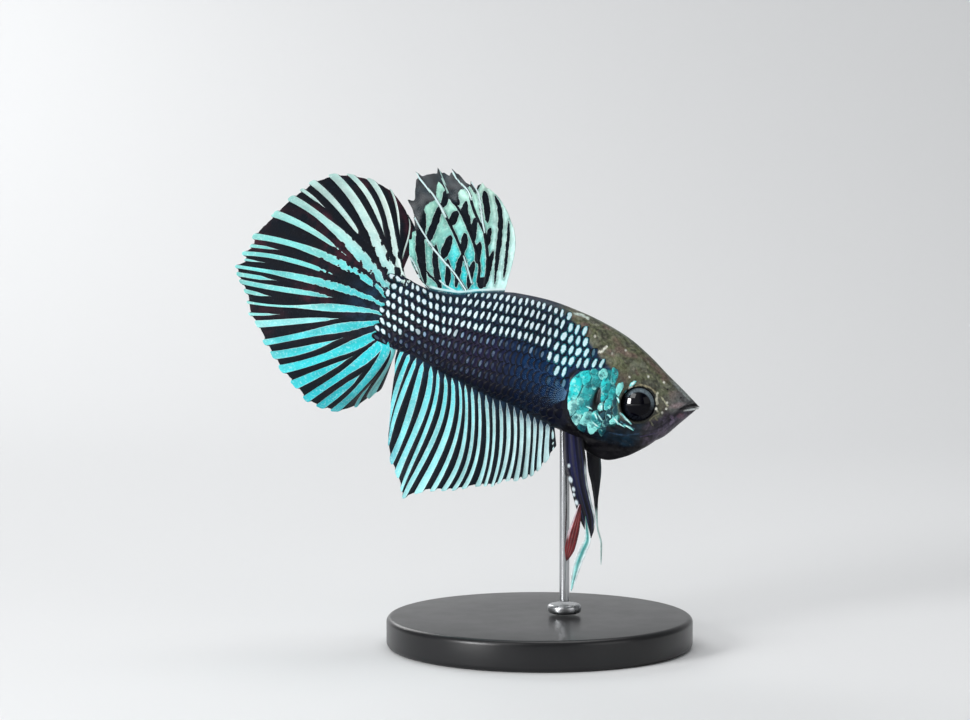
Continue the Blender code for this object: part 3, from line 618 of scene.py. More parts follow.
def build_skin():
    around = 300
    front = np.linspace(0.0, 1.0, 16)[:-1] ** 1.5 * 1.5
    rings = np.concatenate([front, np.arange(1.5, 17.9, 0.088), np.linspace(17.95, 42.9, 84)])
    a = 2 * np.pi * (np.arange(around) + 0.5) / around
    S, A = np.meshgrid(rings, a, indexing="ij")
    p, _ = surface(S, A)
    # lips roll in from the first ring to a slit, then the mouth goes back a little way
    first = p[0]
    h_mouth = -0.10 - 0.40 * np.maximum(first[:, 0] - 0.02, 0)
    up = first[:, 1] > h_mouth
    gap = np.abs(first[:, 1] - h_mouth)
    r = gap * np.where(up, 0.40, 0.46)
    lips = []
    for f in np.linspace(0, math.pi, 9)[1:]:
        q = first.copy()
        q[:, 1] += (1 - math.cos(f)) * r * np.where(up, -1, 1)
        q[:, 0] -= math.sin(f) * np.where(up, 0.16, 0.30) * np.clip(gap / 0.2, 0, 1)
        q[:, 2] *= 1 - 0.05 * f / math.pi
        lips.append(q)
    last = lips[-1]
    for depth, shrink in ((0.3, 0.96), (0.9, 0.88), (1.5, 0.7), (1.9, 0.35)):
        q = last.copy()
        q[:, 0] = last[:, 0] + depth
        q[:, 1] = h_mouth - 0.25 * depth + (last[:, 1] - h_mouth) * (1 + depth)
        q[:, 2] = last[:, 2] * shrink
        lips.append(q)
    grid = np.concatenate([np.array(lips[::-1]), p])
    nu = len(grid)
    cap0, cap1 = grid[0].mean(0), grid[-1].mean(0)
    pts = np.concatenate([grid.reshape(-1, 3), [cap0], [cap1]])
    faces = grid_faces(nu, around, wrap_v=True).tolist()
    ends = [[nu * around, (j + 1) % around, j] for j in range(around)] + [[nu * around + 1, (nu - 1) * around + j, (nu - 1) * around + (j + 1) % around] for j in range(around)]
    n_lip = len(lips)
    tint = marking(pts[:, 0], pts[:, 1], pts[:, 2])
    row = np.concatenate([np.repeat(np.arange(nu), around), [0, nu - 1]])
    # painted shade inside the mouth
    inner = smooth(n_lip - 6.0, n_lip - 8.5, row)
    tint = blend(tint, srgb(20, 14, 18), inner)
    lower = np.concatenate([np.tile(~up, nu), [False, False]])
    near_lip = (row >= n_lip - 8) & (row <= n_lip + 1) & lower
    tint = blend(tint, PALE_LIP, near_lip * 0.85)
    # the map: along the body, round from the belly, with the lips at one end
    u_row = np.concatenate([np.linspace(0.0, 0.03, n_lip), 0.035 + 0.965 * (rings / rings[-1]) ** 0.80])
    fa = np.array(faces)
    j = fa % around
    wrapped = (j.max(1) - j.min(1)) > around / 2
    jj = np.where(wrapped[:, None] & (j == 0), around, j)
    uv = np.stack([u_row[fa // around] * 0.99 + 0.005, (jj + 0.5) / (around + 1)], -1)
    loops = [uv.reshape(-1, 2)]
    loops.append(np.array([[(0.001, (k_ + 0.5) / around), (0.004, (k_ + 1) / around), (0.004, k_ / around)] for k_ in range(around)]).reshape(-1, 2))
    loops.append(np.array([[(0.999, (k_ + 0.5) / around), (0.996, k_ / around), (0.996, (k_ + 1) / around)] for k_ in range(around)]).reshape(-1, 2))
    ob = make_mesh("skin", to_world(pts), faces + ends, {"tint": tint}, loop_uv=np.concatenate(loops), material=skin_material())
    bm = bmesh.new()
    bm.from_mesh(ob.data)
    if bm.calc_volume(signed=True) < 0:
        bmesh.ops.reverse_faces(bm, faces=bm.faces)
    bm.to_mesh(ob.data)
    bm.free()
    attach(ob, "root")
    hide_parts("head", "lower_jaw", "gill_cover_left", "gill_cover_right", "gill_membrane", "trunk_front", "trunk_rear", "tail_stem")
    return ob


# ------------------------------------------------------------------ scales
def scale_material():
    k = Nodes("scales")
    tint, fleck = k.attr("tint", True), k.attr("fleck", True)
    x, y, bright = k.attr("sx"), k.attr("sy"), k.attr("bright")
    wob = k.noise(1700, 3, 0.6)
    # a slanted oval in the middle of what shows of each scale
    xs = k.math("SUBTRACT", x, k.math("MULTIPLY", k.attr("lean"), y))
    ex, ey = k.math("DIVIDE", xs, k.attr("fx")), k.math("DIVIDE", y, k.attr("fy"))
    r = k.math("SQRT", k.math("ADD", k.math("MULTIPLY", ex, ex), k.math("MULTIPLY", ey, ey)))
    r = k.math("ADD", r, k.math("MULTIPLY", k.math("SUBTRACT", wob, 0.5), 1.05))
    r = k.math("ADD", r, k.math("MULTIPLY", k.math("SUBTRACT", k.noise(4200, 3, 0.65), 0.5), 0.75))
    share = k.math("MULTIPLY", k.ramp(r, 0.84, 1.08, 1.0, 0.0), bright)
    halo = k.math("MULTIPLY", k.math("MULTIPLY", k.ramp(r, 1.05, 1.42, 1.0, 0.0), bright), k.attr("halo"))
    rim = k.ramp(k.attr("rim"), 0.04, 0.34, 0.0, 1.0)
    ground = k.mix(k.ramp(wob, 0.3, 0.75, 0.0, 0.45), tint, (0.002, 0.003, 0.008))
    ground = k.mix(rim, (0.0012, 0.0015, 0.005), ground)
    ground = k.mix(halo, ground, srgb(44, 150, 164))
    shade = k.mix(k.ramp(k.noise(2600, 3, 0.6), 0.40, 0.70, 0.0, 0.55), fleck, (0.50, 0.72, 0.80))
    col = k.mix(share, ground, shade)
    ridges = k.math("SINE", k.math("MULTIPLY", k.math("SQRT", k.math("ADD", k.math("MULTIPLY", k.math("ADD", x, 1.2), k.math("ADD", x, 1.2)), k.math("MULTIPLY", y, y))), 26.0))
    k.bump(k.math("ADD", k.math("MULTIPLY", ridges, 0.35), k.noise(3000, 2, 0.5)), 0.22, 0.00005)
    k.set(Base_Color=col, Roughness=k.ramp(share, 0.0, 1.0, 0.42, 0.34), Specular_IOR_Level=0.13, Coat_Weight=0.06, Coat_Roughness=0.15)
    return k.m


GX, GY = 8, 11


def side_angle(s, h, sign=1):
    """angle_at for arrays."""
    m, t, b = curve(s, BODY_S, MIDDLE), curve(s, BODY_S, TOP), curve(s, BODY_S, BOTTOM)
    n = np.where(h >= m, curve(s, (0, 4, 12, 22, 43), (2.1, 2.25, 2.2, 2.0, 1.9)), curve(s, (0, 5, 14, 24, 43), (2.0, 2.15, 2.05, 1.85, 1.8)))
    x = np.clip((h - m) / np.where(h >= m, t - m, m - b), -1, 1)
    return sign * np.arccos(np.sign(x) * np.abs(x) ** (n / 2))


def scale_patch(roots, name, material):
    """One joined mesh of overlapping scales. Each root is a dict of its place, size and marks."""
    n = len(roots)
    g = lambda key: np.array([r[key] for r in roots], float)
    s0, a0, L, W, z0, z1 = g("s"), g("a"), g("L"), g("W"), g("z0"), g("z1")
    X, Y = np.meshgrid(np.linspace(0, 1, GX), np.linspace(-1, 1, GY), indexing="ij")
    # a rounded plate: its front is square and hidden, its rear edge a bow
    Xl = X * (1 - 0.34 * np.abs(Y) ** 2.3)
    Yl = Y * (0.90 + 0.10 * np.sin(np.pi * np.clip(X, 0, 1) ** 0.8))
    base = body_base(s0, a0)
    ra = np.maximum(np.linalg.norm(body_base(s0, a0 + 0.01) - base, axis=-1) / 0.01, 0.3)
    rs = np.maximum(np.linalg.norm(body_base(s0 + 0.02, a0) - base, axis=-1) / 0.02, 0.3)
    sgn = np.sign(a0)[:, None, None]
    S = s0[:, None, None] + L[:, None, None] * Xl / rs[:, None, None]
    A = a0[:, None, None] + sgn * W[:, None, None] * Yl / ra[:, None, None]
    lift = z0[:, None, None] + (z1 - z0)[:, None, None] * Xl + 0.045 * (1 - Y**2) * Xl
    top, nn = surface(S, A, lift)
    under, _ = surface(S, A, lift - 0.055)
    m = GX * GY
    pts = np.concatenate([top.reshape(n, m, 3), under.reshape(n, m, 3)], 1)
    ring = [(0, j) for j in range(GY)] + [(i, GY - 1) for i in range(1, GX)] + [(GX - 1, j) for j in range(GY - 2, -1, -1)] + [(i, 0) for i in range(GX - 2, 0, -1)]
    idx = np.array([i * GY + j for i, j in ring])
    nxt = np.roll(idx, -1)
    one = np.concatenate([grid_faces(GX, GY), grid_faces(GX, GY, m, flip=True), np.stack([nxt, idx, idx + m, nxt + m], -1)])
    facing = np.sum(np.cross(pts[:, 1] - pts[:, 0], pts[:, GY] - pts[:, 0]) * nn[:, 0, 0], -1) > 0
    faces = np.concatenate([(one if facing[k] else one[:, ::-1]) + k * 2 * m for k in range(n)])
    rep = lambda arr: np.repeat(arr, 2 * m)
    both = lambda arr: np.tile(np.concatenate([arr.ravel(), arr.ravel()]), n)
    show = g("show")
    sx = ((Xl[None] * L[:, None, None]) - (L - show * 0.5)[:, None, None]) / (show * 0.5)[:, None, None]
    attrs = {"tint": np.repeat(np.array([r["tint"] for r in roots]), 2 * m, axis=0), "fleck": np.repeat(np.array([r["fleck"] for r in roots]), 2 * m, axis=0),
             "sx": np.concatenate([sx.reshape(n, m)] * 2, 1).ravel(), "sy": both(Y), "rim": both(np.minimum(1 - np.abs(Y), 1 - X))}
    attrs.update({key: rep(g(key)) for key in ("bright", "lean", "fx", "fy", "halo")})
    lu = g("u")[:, None] + (np.concatenate([X.ravel()] * 2) - 0.5)[None] * g("wu")[:, None]
    lv = g("v")[:, None] + (np.concatenate([Y.ravel()] * 2) * 0.5)[None] * g("wv")[:, None]
    ob = make_mesh(name, to_world(pts.reshape(-1, 3)), faces, attrs, uv=np.stack([lu.ravel(), lv.ravel()], -1), material=material)
    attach(ob, "root")
    return ob


# the scale lattice: where the columns of the odd rows stand along the body, and the height of the row that runs from the gill to the tail
COLUMNS = (12.6, 13.55, 14.5, 15.4, 16.4, 17.3, 18.35, 19.25, 20.3, 21.2, 22.07, 22.85, 23.65, 24.45, 25.2) + tuple(25.2 + 0.825 * k for k in range(1, 14)) + tuple(35.925 + 0.9 * k for k in range(1, 9))
ROW = ((12, 15.4, 19.3, 23.6, 28.6, 32.6, 36.1, 40.7, 43.5), (3.3, 2.62, 2.0, 2.03, 1.47, 0.98, 0.65, 1.25, 1.7))
ROW_GAP = ((12, 19, 24.5, 33, 38, 43.5), (1.22, 1.5, 1.58, 1.5, 1.28, 1.2))


def body_scales():
    """Both flanks' scales: rows along the body, each a column's half pitch behind the next."""
    cells = []
    rnd = random.Random(5)
    half = np.linspace(0.0, math.pi, 241)
    cols = np.array(COLUMNS)
    for row in range(-3, 12):
        for i in range(2 * len(cols) - 1):
            if i % 2 != (row + 1) % 2:
                continue
            j = i // 2
            s_c = float(cols[j]) if i % 2 == 0 else float(cols[j] + cols[j + 1]) / 2
            pitch = float(cols[j + 1] - cols[j]) if j + 1 < len(cols) else 0.9
            s_j = s_c + rnd.uniform(-0.07, 0.07)
            ring = body_base(s_c, half)
            arc = np.concatenate([[0], np.cumsum(np.linalg.norm(np.diff(ring, axis=0), axis=1))])
            keel = float(curve(s_c, (12, 15, 17, 44), (2.6, 1.2, 0.0, 0.0)))
            a_ref = float(side_angle(np.array(s_c), curve(s_c, *ROW)))
            gap = float(curve(s_c, *ROW_GAP))
            want = float(np.interp(a_ref, half, arc)) + (row - 3) * gap + rnd.uniform(-0.07, 0.07)
            if want < (0.12 if s_c > 24 else 0.62) * gap or want > arc[-1] - keel - 0.1 * gap:
                continue
            a0 = float(np.interp(want, arc, half))
            p = body_base(s_c, a0)
            h_c = float(p[1])
            gill = float(outline_distance(s_c - 0.4, h_c, GILL))
            if gill > -0.20 and s_c < 18.0:
                continue
            if s_c < 17.3 and h_c < float(curve(s_c, (10, 13, 15, 17.5), (3.4, 2.0, 1.0, -0.9))) - 0.3:
                continue
            W, L = 0.64 * gap, 2.05 * pitch
            # b is partly a painted highlight: the upper rows' flecks lit as from above, the lower rows' dimmed
            b = float(fleck_and_top_light_share(s_c, h_c))
            tone = 1 + rnd.uniform(-0.18, 0.18)
            ground = marking(np.array(s_c), np.array(h_c), np.array(1.0)) * tone * (1 - 0.45 * b)
            on_head = float(smooth(-0.3, 0.5, h_c - curve(s_c, (12, 13.2, 15.3, 16.5, 17.0, 18.6, 20, 23), (0.4, 1.8, 2.5, 3.9, 5.2, 5.9, 6.5, 8.5))))
            if on_head > 0.5 and s_c < 24:
                continue
            stem, near = float(smooth(33, 38, s_c)), float(smooth(22.5, 18.0, s_c))
            bright = b * rnd.uniform(0.86, 1.0)
            white = np.array(srgb(222, 236, 242)) * (1 - 0.3 * near) + np.array(srgb(170, 236, 240)) * 0.3 * near
            if b < 0.5:
                # lower scales: faint purple dashes behind, a few small pale ones along the boundary, plain deep blue in front
                edge = float(smooth(-2.2, -0.5, h_c - curve(s_c, *CUT)))
                back = float(smooth(25, 29, s_c))
                bright = max(bright, back * float(smooth(-6.2, -3.6, h_c)) * rnd.uniform(0.12, 0.50), edge * (0.75 if rnd.random() < 0.30 else 0.12) * rnd.uniform(0.5, 1.0))
                white = np.array(srgb(104, 96, 142)) * (1 - edge) + np.array(srgb(150, 172, 205)) * edge
            out_bright = bright * (1 - on_head)
            size = rnd.uniform(0.82, 1.12)
            cells.append((s_j, s_c, a0, h_c, L, W, pitch, ground, white, out_bright, stem, near, size, rnd.uniform(-0.22, 0.16), b, i, row))
    m, n_row = scale_material(), 16.0
    for sign in (1, -1):
        roots = []
        for s_j, s_c, a0, h_c, L, W, pitch, ground, white, bright, stem, near, size, tilt, b, i, row in cells:
            lean_mm = -0.06 + 0.34 * stem
            small = 0.72 if b < 0.5 else 1.0
            roots.append({"s": s_j - L + 0.5 * pitch, "a": sign * a0, "L": L, "W": W, "z0": -0.16, "z1": (0.115 - 0.05 * float(row < 1)) * (0.35 + 0.65 * float(smooth(0.12, 0.62, a0))), "show": pitch, "tint": ground, "fleck": white, "bright": bright,
                          "lean": -lean_mm * W / (pitch * 0.5) + tilt, "fx": (0.49 + 0.05 * near + 0.11 * stem) * size * small, "fy": (0.60 + 0.08 * near - 0.13 * stem) * (2 - size) * small,
                          "halo": 0.25 + 0.75 * near, "u": 0.02 + 0.96 * (i + 0.5) / (2 * len(COLUMNS)), "v": 0.02 + 0.96 * (row + 3.5) / n_row, "wu": 0.9 / len(COLUMNS), "wv": 0.47 / n_row * 2 * 0.95})
        scale_patch(roots, "scales_left" if sign > 0 else "scales_right", m)


# plates of the cheek and gill cover: place, half length along the body, half height, slant in degrees, and colour
PLATES = (
    (16.11, -2.36, .73, 1.76, -4, "cyan"), (15.26, -0.58, .65, .72, 10, "cyan"), (14.49, -2.52, .65, 1.10, 0, "mid"), (13.82, -0.80, .55, .78, -20, "mid"),
    (13.26, 0.41, .58, .49, 0, "pale"), (11.83, 0.67, .42, .91, -12, "mid"), (12.43, -1.30, .55, 1.24, -8, "cyan"), (11.44, -1.60, .44, .84, 0, "mid"),
    (10.65, -0.86, .42, .73, -10, "pale"), (15.70, -4.69, .60, .98, 15, "white"), (14.77, -6.30, .55, 1.36, 24, "white"), (14.26, -4.50, .74, .86, 20, "mid"),
    (13.41, -5.86, .91, .84, 30, "light"), (12.70, -5.08, .36, .66, 20, "mid"), (11.73, -5.11, .33, .80, 10, "dim"), (12.34, -3.67, .26, .47, 0, "white"),
    (11.47, -2.98, .44, .68, 0, "mid"), (11.03, -4.34, .42, .50, 0, "dim"), (10.03, -4.69, .29, .72, 38, "pale"), (12.51, -6.52, .91, .58, 35, "light"),
    (13.54, -7.13, .58, .84, 40, "dim"), (10.99, -6.58, .52, .52, 20, "dim"), (10.75, -2.35, .34, .62, 0, "dim"), (10.95, -5.55, .50, .45, 20, "dim"),
    (14.45, 0.20, .50, .42, 10, "mid"), (15.05, -3.85, .45, .60, 10, "pale"), (11.9, -6.0, .5, .5, 25, "mid"), (10.3, -3.45, .36, .50, 15, "dim"))
SLOT = (13.18, -2.85, .44, 1.32, 0)
PLATE_TONES = {"cyan": (34, 212, 214), "mid": (44, 176, 178), "pale": (134, 226, 220), "light": (150, 238, 232), "white": (178, 246, 240), "dim": (12, 60, 74)}


def plate_norm(s, h, plate):
    """Distance from a plate's middle, 1 at its measured edge."""
    a = math.radians(plate[4])
    ds, dh = s - plate[0], h - plate[1]
    # the slant turns the upright axis towards the head at the top
    u, w = ds * math.cos(a) + dh * math.sin(a), -ds * math.sin(a) + dh * math.cos(a)
    return np.hypot(u / plate[2], w / plate[3])


def gill_plates():
    k = Nodes("gill_plates")
    fleck, r = k.attr("fleck", True), k.attr("pr")
    wob, fine = k.noise(1300, 3, 0.6), k.noise(3000, 3, 0.6)
    rr = k.math("ADD", r, k.math("MULTIPLY", k.math("SUBTRACT", wob, 0.5), 0.5))
    big = k.noise(620, 4, 0.65)
    col = k.mix(k.ramp(big, 0.47, 0.60, 0.0, 0.80), fleck, (0.004, 0.17, 0.19))
    col = k.mix(k.ramp(wob, 0.52, 0.62, 0.0, 0.72), col, (0.002, 0.06, 0.08))
    col = k.mix(k.ramp(k.noise(1150, 5, 0.72), 0.54, 0.64, 0.0, 0.75), col, (0.34, 0.88, 0.82))
    # painted highlight: a pale rim on each plate's rear and lower edge, as if lit
    col = k.mix(k.math("MULTIPLY", k.math("MULTIPLY", k.ramp(rr, 0.70, 1.0, 0.0, 0.85), k.ramp(big, 0.40, 0.56, 1.0, 0.15)), k.attr("lit")), col, srgb(160, 240, 232))
    # painted shade: a dark rim on the edge away from the light
    col = k.mix(k.math("MULTIPLY", k.ramp(r, 0.90, 1.0, 0.0, 0.8), k.math("SUBTRACT", 0.50, k.attr("lit"), clamp=True)), col, (0.001, 0.03, 0.04))
    # painted shadow on each plate's front and upper side, where the plate ahead overlaps it
    col = k.mix(k.math("MULTIPLY", k.ramp(rr, 0.30, 0.95), k.attr("under")), col, (0.003, 0.06, 0.08))
    growth = k.math("SINE", k.math("MULTIPLY", rr, 30.0))
    col = k.mix(k.ramp(growth, 0.2, 1.0, 0.0, 0.06), col, (0.004, 0.10, 0.12))
    k.bump(k.math("ADD", k.noise(2600, 3, 0.6), k.math("ADD", k.math("MULTIPLY", wob, 0.8), k.math("MULTIPLY", growth, 0.12))), 0.35, 0.00006)
    k.set(Base_Color=col, Roughness=k.ramp(fine, 0.3, 0.7, 0.30, 0.44), Specular_IOR_Level=0.3, Coat_Weight=0.2, Coat_Roughness=0.12)
    rings, around = (0.001, 0.3, 0.55, 0.75, 0.88, 0.96, 1.0), 44
    th = np.linspace(0, 2 * math.pi, around, endpoint=False)
    reach = np.arange(0.02, 1.62, 0.02)
    rnd = random.Random(9)
    for sign, side in ((1, "left"), (-1, "right")):
        P, F, A, U = [], [], {"fleck": [], "pr": [], "lit": [], "under": []}, []
        count = 0
        for k_, plate in enumerate(PLATES):
            a = math.radians(plate[4])
            du, dw = plate[2] * np.cos(th), plate[3] * np.sin(th)
            ds, dh = du * math.cos(a) - dw * math.sin(a), du * math.sin(a) + dw * math.cos(a)
            s_, h_ = plate[0] + reach[:, None] * ds, plate[1] + reach[:, None] * dh
            others = np.min([plate_norm(s_, h_, q) for j, q in enumerate(PLATES + (SLOT,)) if j != k_], axis=0)
            room = outline_distance(s_, h_, GILL)
            ok = (others > reach[:, None] - 0.34) & (room > 0.02) & (np.hypot(s_ - EYE_S, h_ - EYE_H) > 2.75)
            stop = np.where(ok.all(0), len(reach) - 1, np.argmin(ok, axis=0))
            R = np.clip(reach[stop], 0.12, 1.46)
            R = R * (1 + 0.07 * np.sin(3 * th + k_) + 0.06 * np.sin(5 * th + 2 * k_) + 0.035 * np.sin(9 * th + 3 * k_))
            R = (np.roll(R, 1) + 2 * R + np.roll(R, -1)) / 4
            tone = rnd.uniform(0.86, 1.10)
            rows, grey = [], []
            for f in rings:
                sf, hf = plate[0] + f * R * ds, plate[1] + f * R * dh
                ang = side_angle(sf, hf, sign)
                tilt = 0.045 * (sf - plate[0]) / max(plate[2], 0.3)
                lift = 0.004 + (0.022 if plate[5] == "dim" else 0.040) * (1 - f**2.2) + np.clip(tilt, -0.05, 0.04)
                rows.append((sf, ang, lift))
            top = np.concatenate([surface(sf, ang, lf)[0] for sf, ang, lf in rows])
            sf, ang, lf = rows[-1]
            foot = surface(sf, ang, lf - 0.07)[0]
            mid = surface(rows[0][0], rows[0][1], -0.10 + 0 * lf)[0]
            pts = np.concatenate([top, foot, mid])
            n = len(rings) + 2
            f = grid_faces(n, around, count, wrap_v=True)
            cap0 = [count + j for j in range(around)]
            cap1 = [count + (n - 1) * around + j for j in range(around)]
            F += f.tolist() + [cap0[::-1], cap1]
            P.append(pts)
            fr = np.concatenate([np.repeat(rings, around), np.ones(around), np.zeros(around)])
            A["pr"].append(fr)
            # lit: how strong each plate's painted highlight rim is; under: the painted shadow on its front side
            lit = {"cyan": 0.25, "mid": 0.6, "pale": 0.9, "light": 0.85, "white": 1.0, "dim": 0.3}[plate[5]]
            A["lit"].append(np.tile(lit * smooth(-0.1, 0.7, (ds - 0.5 * dh) / np.hypot(ds, dh).max()), len(rings) + 2))
            A["under"].append(np.tile(0.70 * smooth(0.0, 0.8, (-ds + 0.6 * dh) / np.hypot(ds, dh).max()), len(rings) + 2))
            A["fleck"].append(np.tile(srgb(*PLATE_TONES[plate[5]]) * tone, (len(fr), 1)))
            cu, cv = 0.08 + 0.84 * (plate[0] - 9.2) / 8.2, 0.06 + 0.88 * (plate[1] + 8.2) / 9.8
            fu = np.concatenate([np.asarray(rings), [1.03, 1.06]])[:, None] * R * 0.80
            U.append(np.stack([cu + 0.102 * fu * ds, cv + 0.090 * fu * dh], -1).reshape(-1, 2))
            count += len(pts)
        ob = make_mesh(f"gill_scales_{side}", to_world(np.concatenate(P)), F, {key: np.concatenate(v) for key, v in A.items()}, uv=np.concatenate(U), material=k.m)
        turn_out(ob)
        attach(ob, "root")


# pale raised strokes over the cheek and gill cover: place, half width, half length, slant
FLECKS = (
    (12.31, -3.67, 0.17, 0.47, -23), (12.64, -4.97, 0.13, 0.60, -42), (12.04, -5.07, 0.11, 0.63, -51), (9.93, -4.80, 0.17, 0.68, -55), (8.73, -4.17, 0.12, 1.04, -60),
    (8.06, -5.13, 0.13, 0.80, -78), (9.12, -5.16, 0.10, 0.65, -74), (13.79, -4.22, 0.11, 0.50, -80), (9.38, 0.47, 0.22, 0.56, 35),
    (10.53, -2.11, 0.13, 0.45, -39), (12.31, -6.10, 0.12, 0.75, -68), (10.96, -4.44, 0.15, 0.34, -60))


def gill_flecks():
    k = Nodes("gill_flecks")
    wob, fine = k.noise(1900, 3, 0.6), k.noise(4200, 3, 0.6)
    col = k.mix(k.ramp(k.attr("pr"), 0.30, 1.0), srgb(226, 246, 244), srgb(96, 208, 206))
    col = k.mix(k.ramp(wob, 0.42, 0.68, 0.0, 0.6), col, srgb(96, 196, 198))
    k.bump(fine, 0.2, 0.00004)
    k.set(Base_Color=col, Roughness=k.ramp(fine, 0.3, 0.7, 0.32, 0.46), Specular_IOR_Level=0.3)
    rings, around = (0.001, 0.4, 0.7, 0.9, 1.0), 26
    th = np.linspace(0, 2 * math.pi, around, endpoint=False)
    for sign, side in ((1, "left"), (-1, "right")):
        P, F, R_, U = [], [], [], []
        for i, (ps, ph, hw, hl, slant) in enumerate(FLECKS):
            a = math.radians(slant)
            bend = (0.6 if i % 2 else -0.4) * hw
            rows = []
            for f in rings:
                du, dw = f * hw * np.cos(th) * (1 - 0.25 * np.sin(th) ** 2 + 0.10 * np.sin(3 * th + 2.1 * i)), f * hl * np.sin(th)
                du = du + bend * (dw / hl) ** 2
                sf, hf = ps + du * math.cos(a) - dw * math.sin(a), ph + du * math.sin(a) + dw * math.cos(a)
                rows.append((sf, side_angle(sf, hf, sign), 0.055 + 0.045 * math.sqrt(max(0.0, 1 - f * f)) + 0 * sf))
            pts = np.concatenate([surface(*r_)[0] for r_ in rows] + [surface(rows[-1][0], rows[-1][1], -0.06 + 0 * th)[0], surface(rows[0][0], rows[0][1], -0.08 + 0 * th)[0]])
            n, start = len(rings) + 2, len(P) and sum(len(q) for q in P)
            F += grid_faces(n, around, start, wrap_v=True).tolist() + [[start + j for j in range(around)][::-1], [start + (n - 1) * around + j for j in range(around)]]
            P.append(pts)
            fr = np.concatenate([np.asarray(rings), [1.0, 0.0]])
            R_.append(np.repeat(fr, around))
            cu, cv = 0.1 + 0.16 * (i % 6), 0.1 + 0.19 * (i // 6)
            fu = np.concatenate([np.asarray(rings), [1.04, 1.08]])[:, None]
            U.append(np.stack([cu + 0.06 * fu * np.cos(th), cv + 0.08 * fu * np.sin(th)], -1).reshape(-1, 2))
        ob = make_mesh(f"gill_flecks_{side}", to_world(np.concatenate(P)), F, {"pr": np.concatenate(R_)}, uv=np.concatenate(U), material=k.m)
        turn_out(ob)
        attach(ob, "root")


# ------------------------------------------------------------------ eyes
def build_eyes():
    k = Nodes("eye_gloss")
    r, ang = k.attr("er"), k.attr("ea")
    streak = k.noise(1.0, 4, 0.6, vector=k.combine(k.math("MULTIPLY", ang, 9.0), k.math("MULTIPLY", r, 1.5)))
    iris = k.mix(k.ramp(streak, 0.35, 0.68), srgb(9, 10, 16), srgb(24, 27, 34))
    crescent = k.math("MULTIPLY", k.attr("gold"), k.ramp(streak, 0.25, 0.6, 0.55, 1.0))
    iris = k.mix(crescent, iris, srgb(104, 118, 126))
    col = k.mix(k.ramp(r, 1.44, 1.60), (0.0004, 0.0004, 0.0022), iris)
    col = k.mix(k.ramp(r, 2.06, 2.22), col, srgb(10, 10, 14))
    k.set(Base_Color=col, Roughness=k.ramp(streak, 0.2, 0.8, 0.22, 0.32), Specular_IOR_Level=0.0, Coat_Weight=k.attr("wet"), Coat_IOR=1.75, Coat_Roughness=0.04)
    R, nr, na = 2.72, 46, 96
    for sign, side in ((1, "left"), (-1, "right")):
        head = float(body_base(EYE_S, angle_at(EYE_S, EYE_H, 1))[2])
        cy = head + 0.40 - R
        rr = np.linspace(0, 2.5, nr)
        th = np.linspace(0, 2 * math.pi, na, endpoint=False)
        RR, TH = np.meshgrid(rr[1:], th, indexing="ij")
        dome = np.sqrt(np.maximum(R * R - RR**2, 0.02)) 
        front = np.stack([EYE_S + RR * np.cos(TH), EYE_H + RR * np.sin(TH), sign * (cy + dome)], -1)
        tip = np.array([EYE_S, EYE_H, sign * (cy + R)])
        back = np.array([[EYE_S + 2.5 * math.cos(t), EYE_H + 2.5 * math.sin(t), sign * (cy + 0.5)] for t in th])
        deep = np.array([EYE_S, EYE_H, sign * (cy + 0.2)])
        pts = np.concatenate([front.reshape(-1, 3), back, [tip], [deep]])
        n1 = (nr - 1) * na
        f = grid_faces(nr, na, wrap_v=True).tolist()
        f += [[n1 + na, (j + 1) % na, j] for j in range(na)]
        f += [[n1 + na + 1, n1 + j, n1 + (j + 1) % na] for j in range(na)]
        er = np.concatenate([RR.ravel(), np.full(na, 2.5), [0.0], [2.5]])
        ta = np.concatenate([TH.ravel(), th, [0.0], [0.0]])
        # the grey-blue crescent stands in the iris's upper part, a little to the front
        gold = smooth(-0.05, 0.70, np.cos(ta - math.radians(96))) * smooth(1.50, 1.72, er) * smooth(2.16, 2.02, er)
        # the clear film stands full over the upper front of the eye and thins to a trace below
        up, ahead = er * (0.309 * np.cos(ta) + 0.951 * np.sin(ta)), er * (0.309 * np.sin(ta) - 0.951 * np.cos(ta))
        wet = 0.13 + 0.87 * smooth(-0.10, 0.35, up + 0.12) * smooth(0.55, -0.15, ahead)
        uv = np.stack([0.5 + 0.19 * er * np.cos(ta), 0.5 + 0.19 * er * np.sin(ta)], -1)
        ob = make_mesh(f"eyeball_{side}", to_world(pts), f, {"er": er, "ea": ta, "gold": gold, "wet": wet}, uv=uv, material=k.m)
        turn_out(ob)
        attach(ob, "root")
        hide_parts(f"eye_{side}")


# ------------------------------------------------------------------ fins
HYPURAL = (42.5, -0.83)


def tones(x, stops):
    """Linear colour along x through a few sRGB stops, each (x, r, g, b)."""
    xs = [q[0] for q in stops]
    c = np.stack([curve(x, xs, [q[i] for q in stops]) for i in (1, 2, 3)], -1) / 255
    return np.where(c <= 0.04045, c / 12.92, ((np.maximum(c, 0) + 0.055) / 1.055) ** 2.4)


def lines_through(P, v):
    """Smooth lines through four points each, P (n, 4, 2), at even shares v (n, m) of their length."""
    d = np.linalg.norm(np.diff(P, axis=1), axis=2)
    t = np.concatenate([np.zeros((len(P), 1)), np.cumsum(d, 1)], 1)
    t = t / t[:, -1:]
    fine = np.linspace(0, 1, 90)
    q = 0
    for i in range(4):
        w = np.ones((len(P), len(fine)))
        for j in range(4):
            if j != i:
                w = w * (fine[None] - t[:, j:j + 1]) / (t[:, i:i + 1] - t[:, j:j + 1])
        q = q + w[..., None] * P[:, i:i + 1]
    s = np.concatenate([np.zeros((len(P), 1)), np.cumsum(np.linalg.norm(np.diff(q, axis=1), axis=2), 1)], 1)
    out = np.empty(v.shape + (2,))
    for k in range(len(P)):
        for c in (0, 1):
            out[k, :, c] = np.interp(v[k] * s[k, -1], s[k], q[k, :, c])
    return out, s[:, -1]


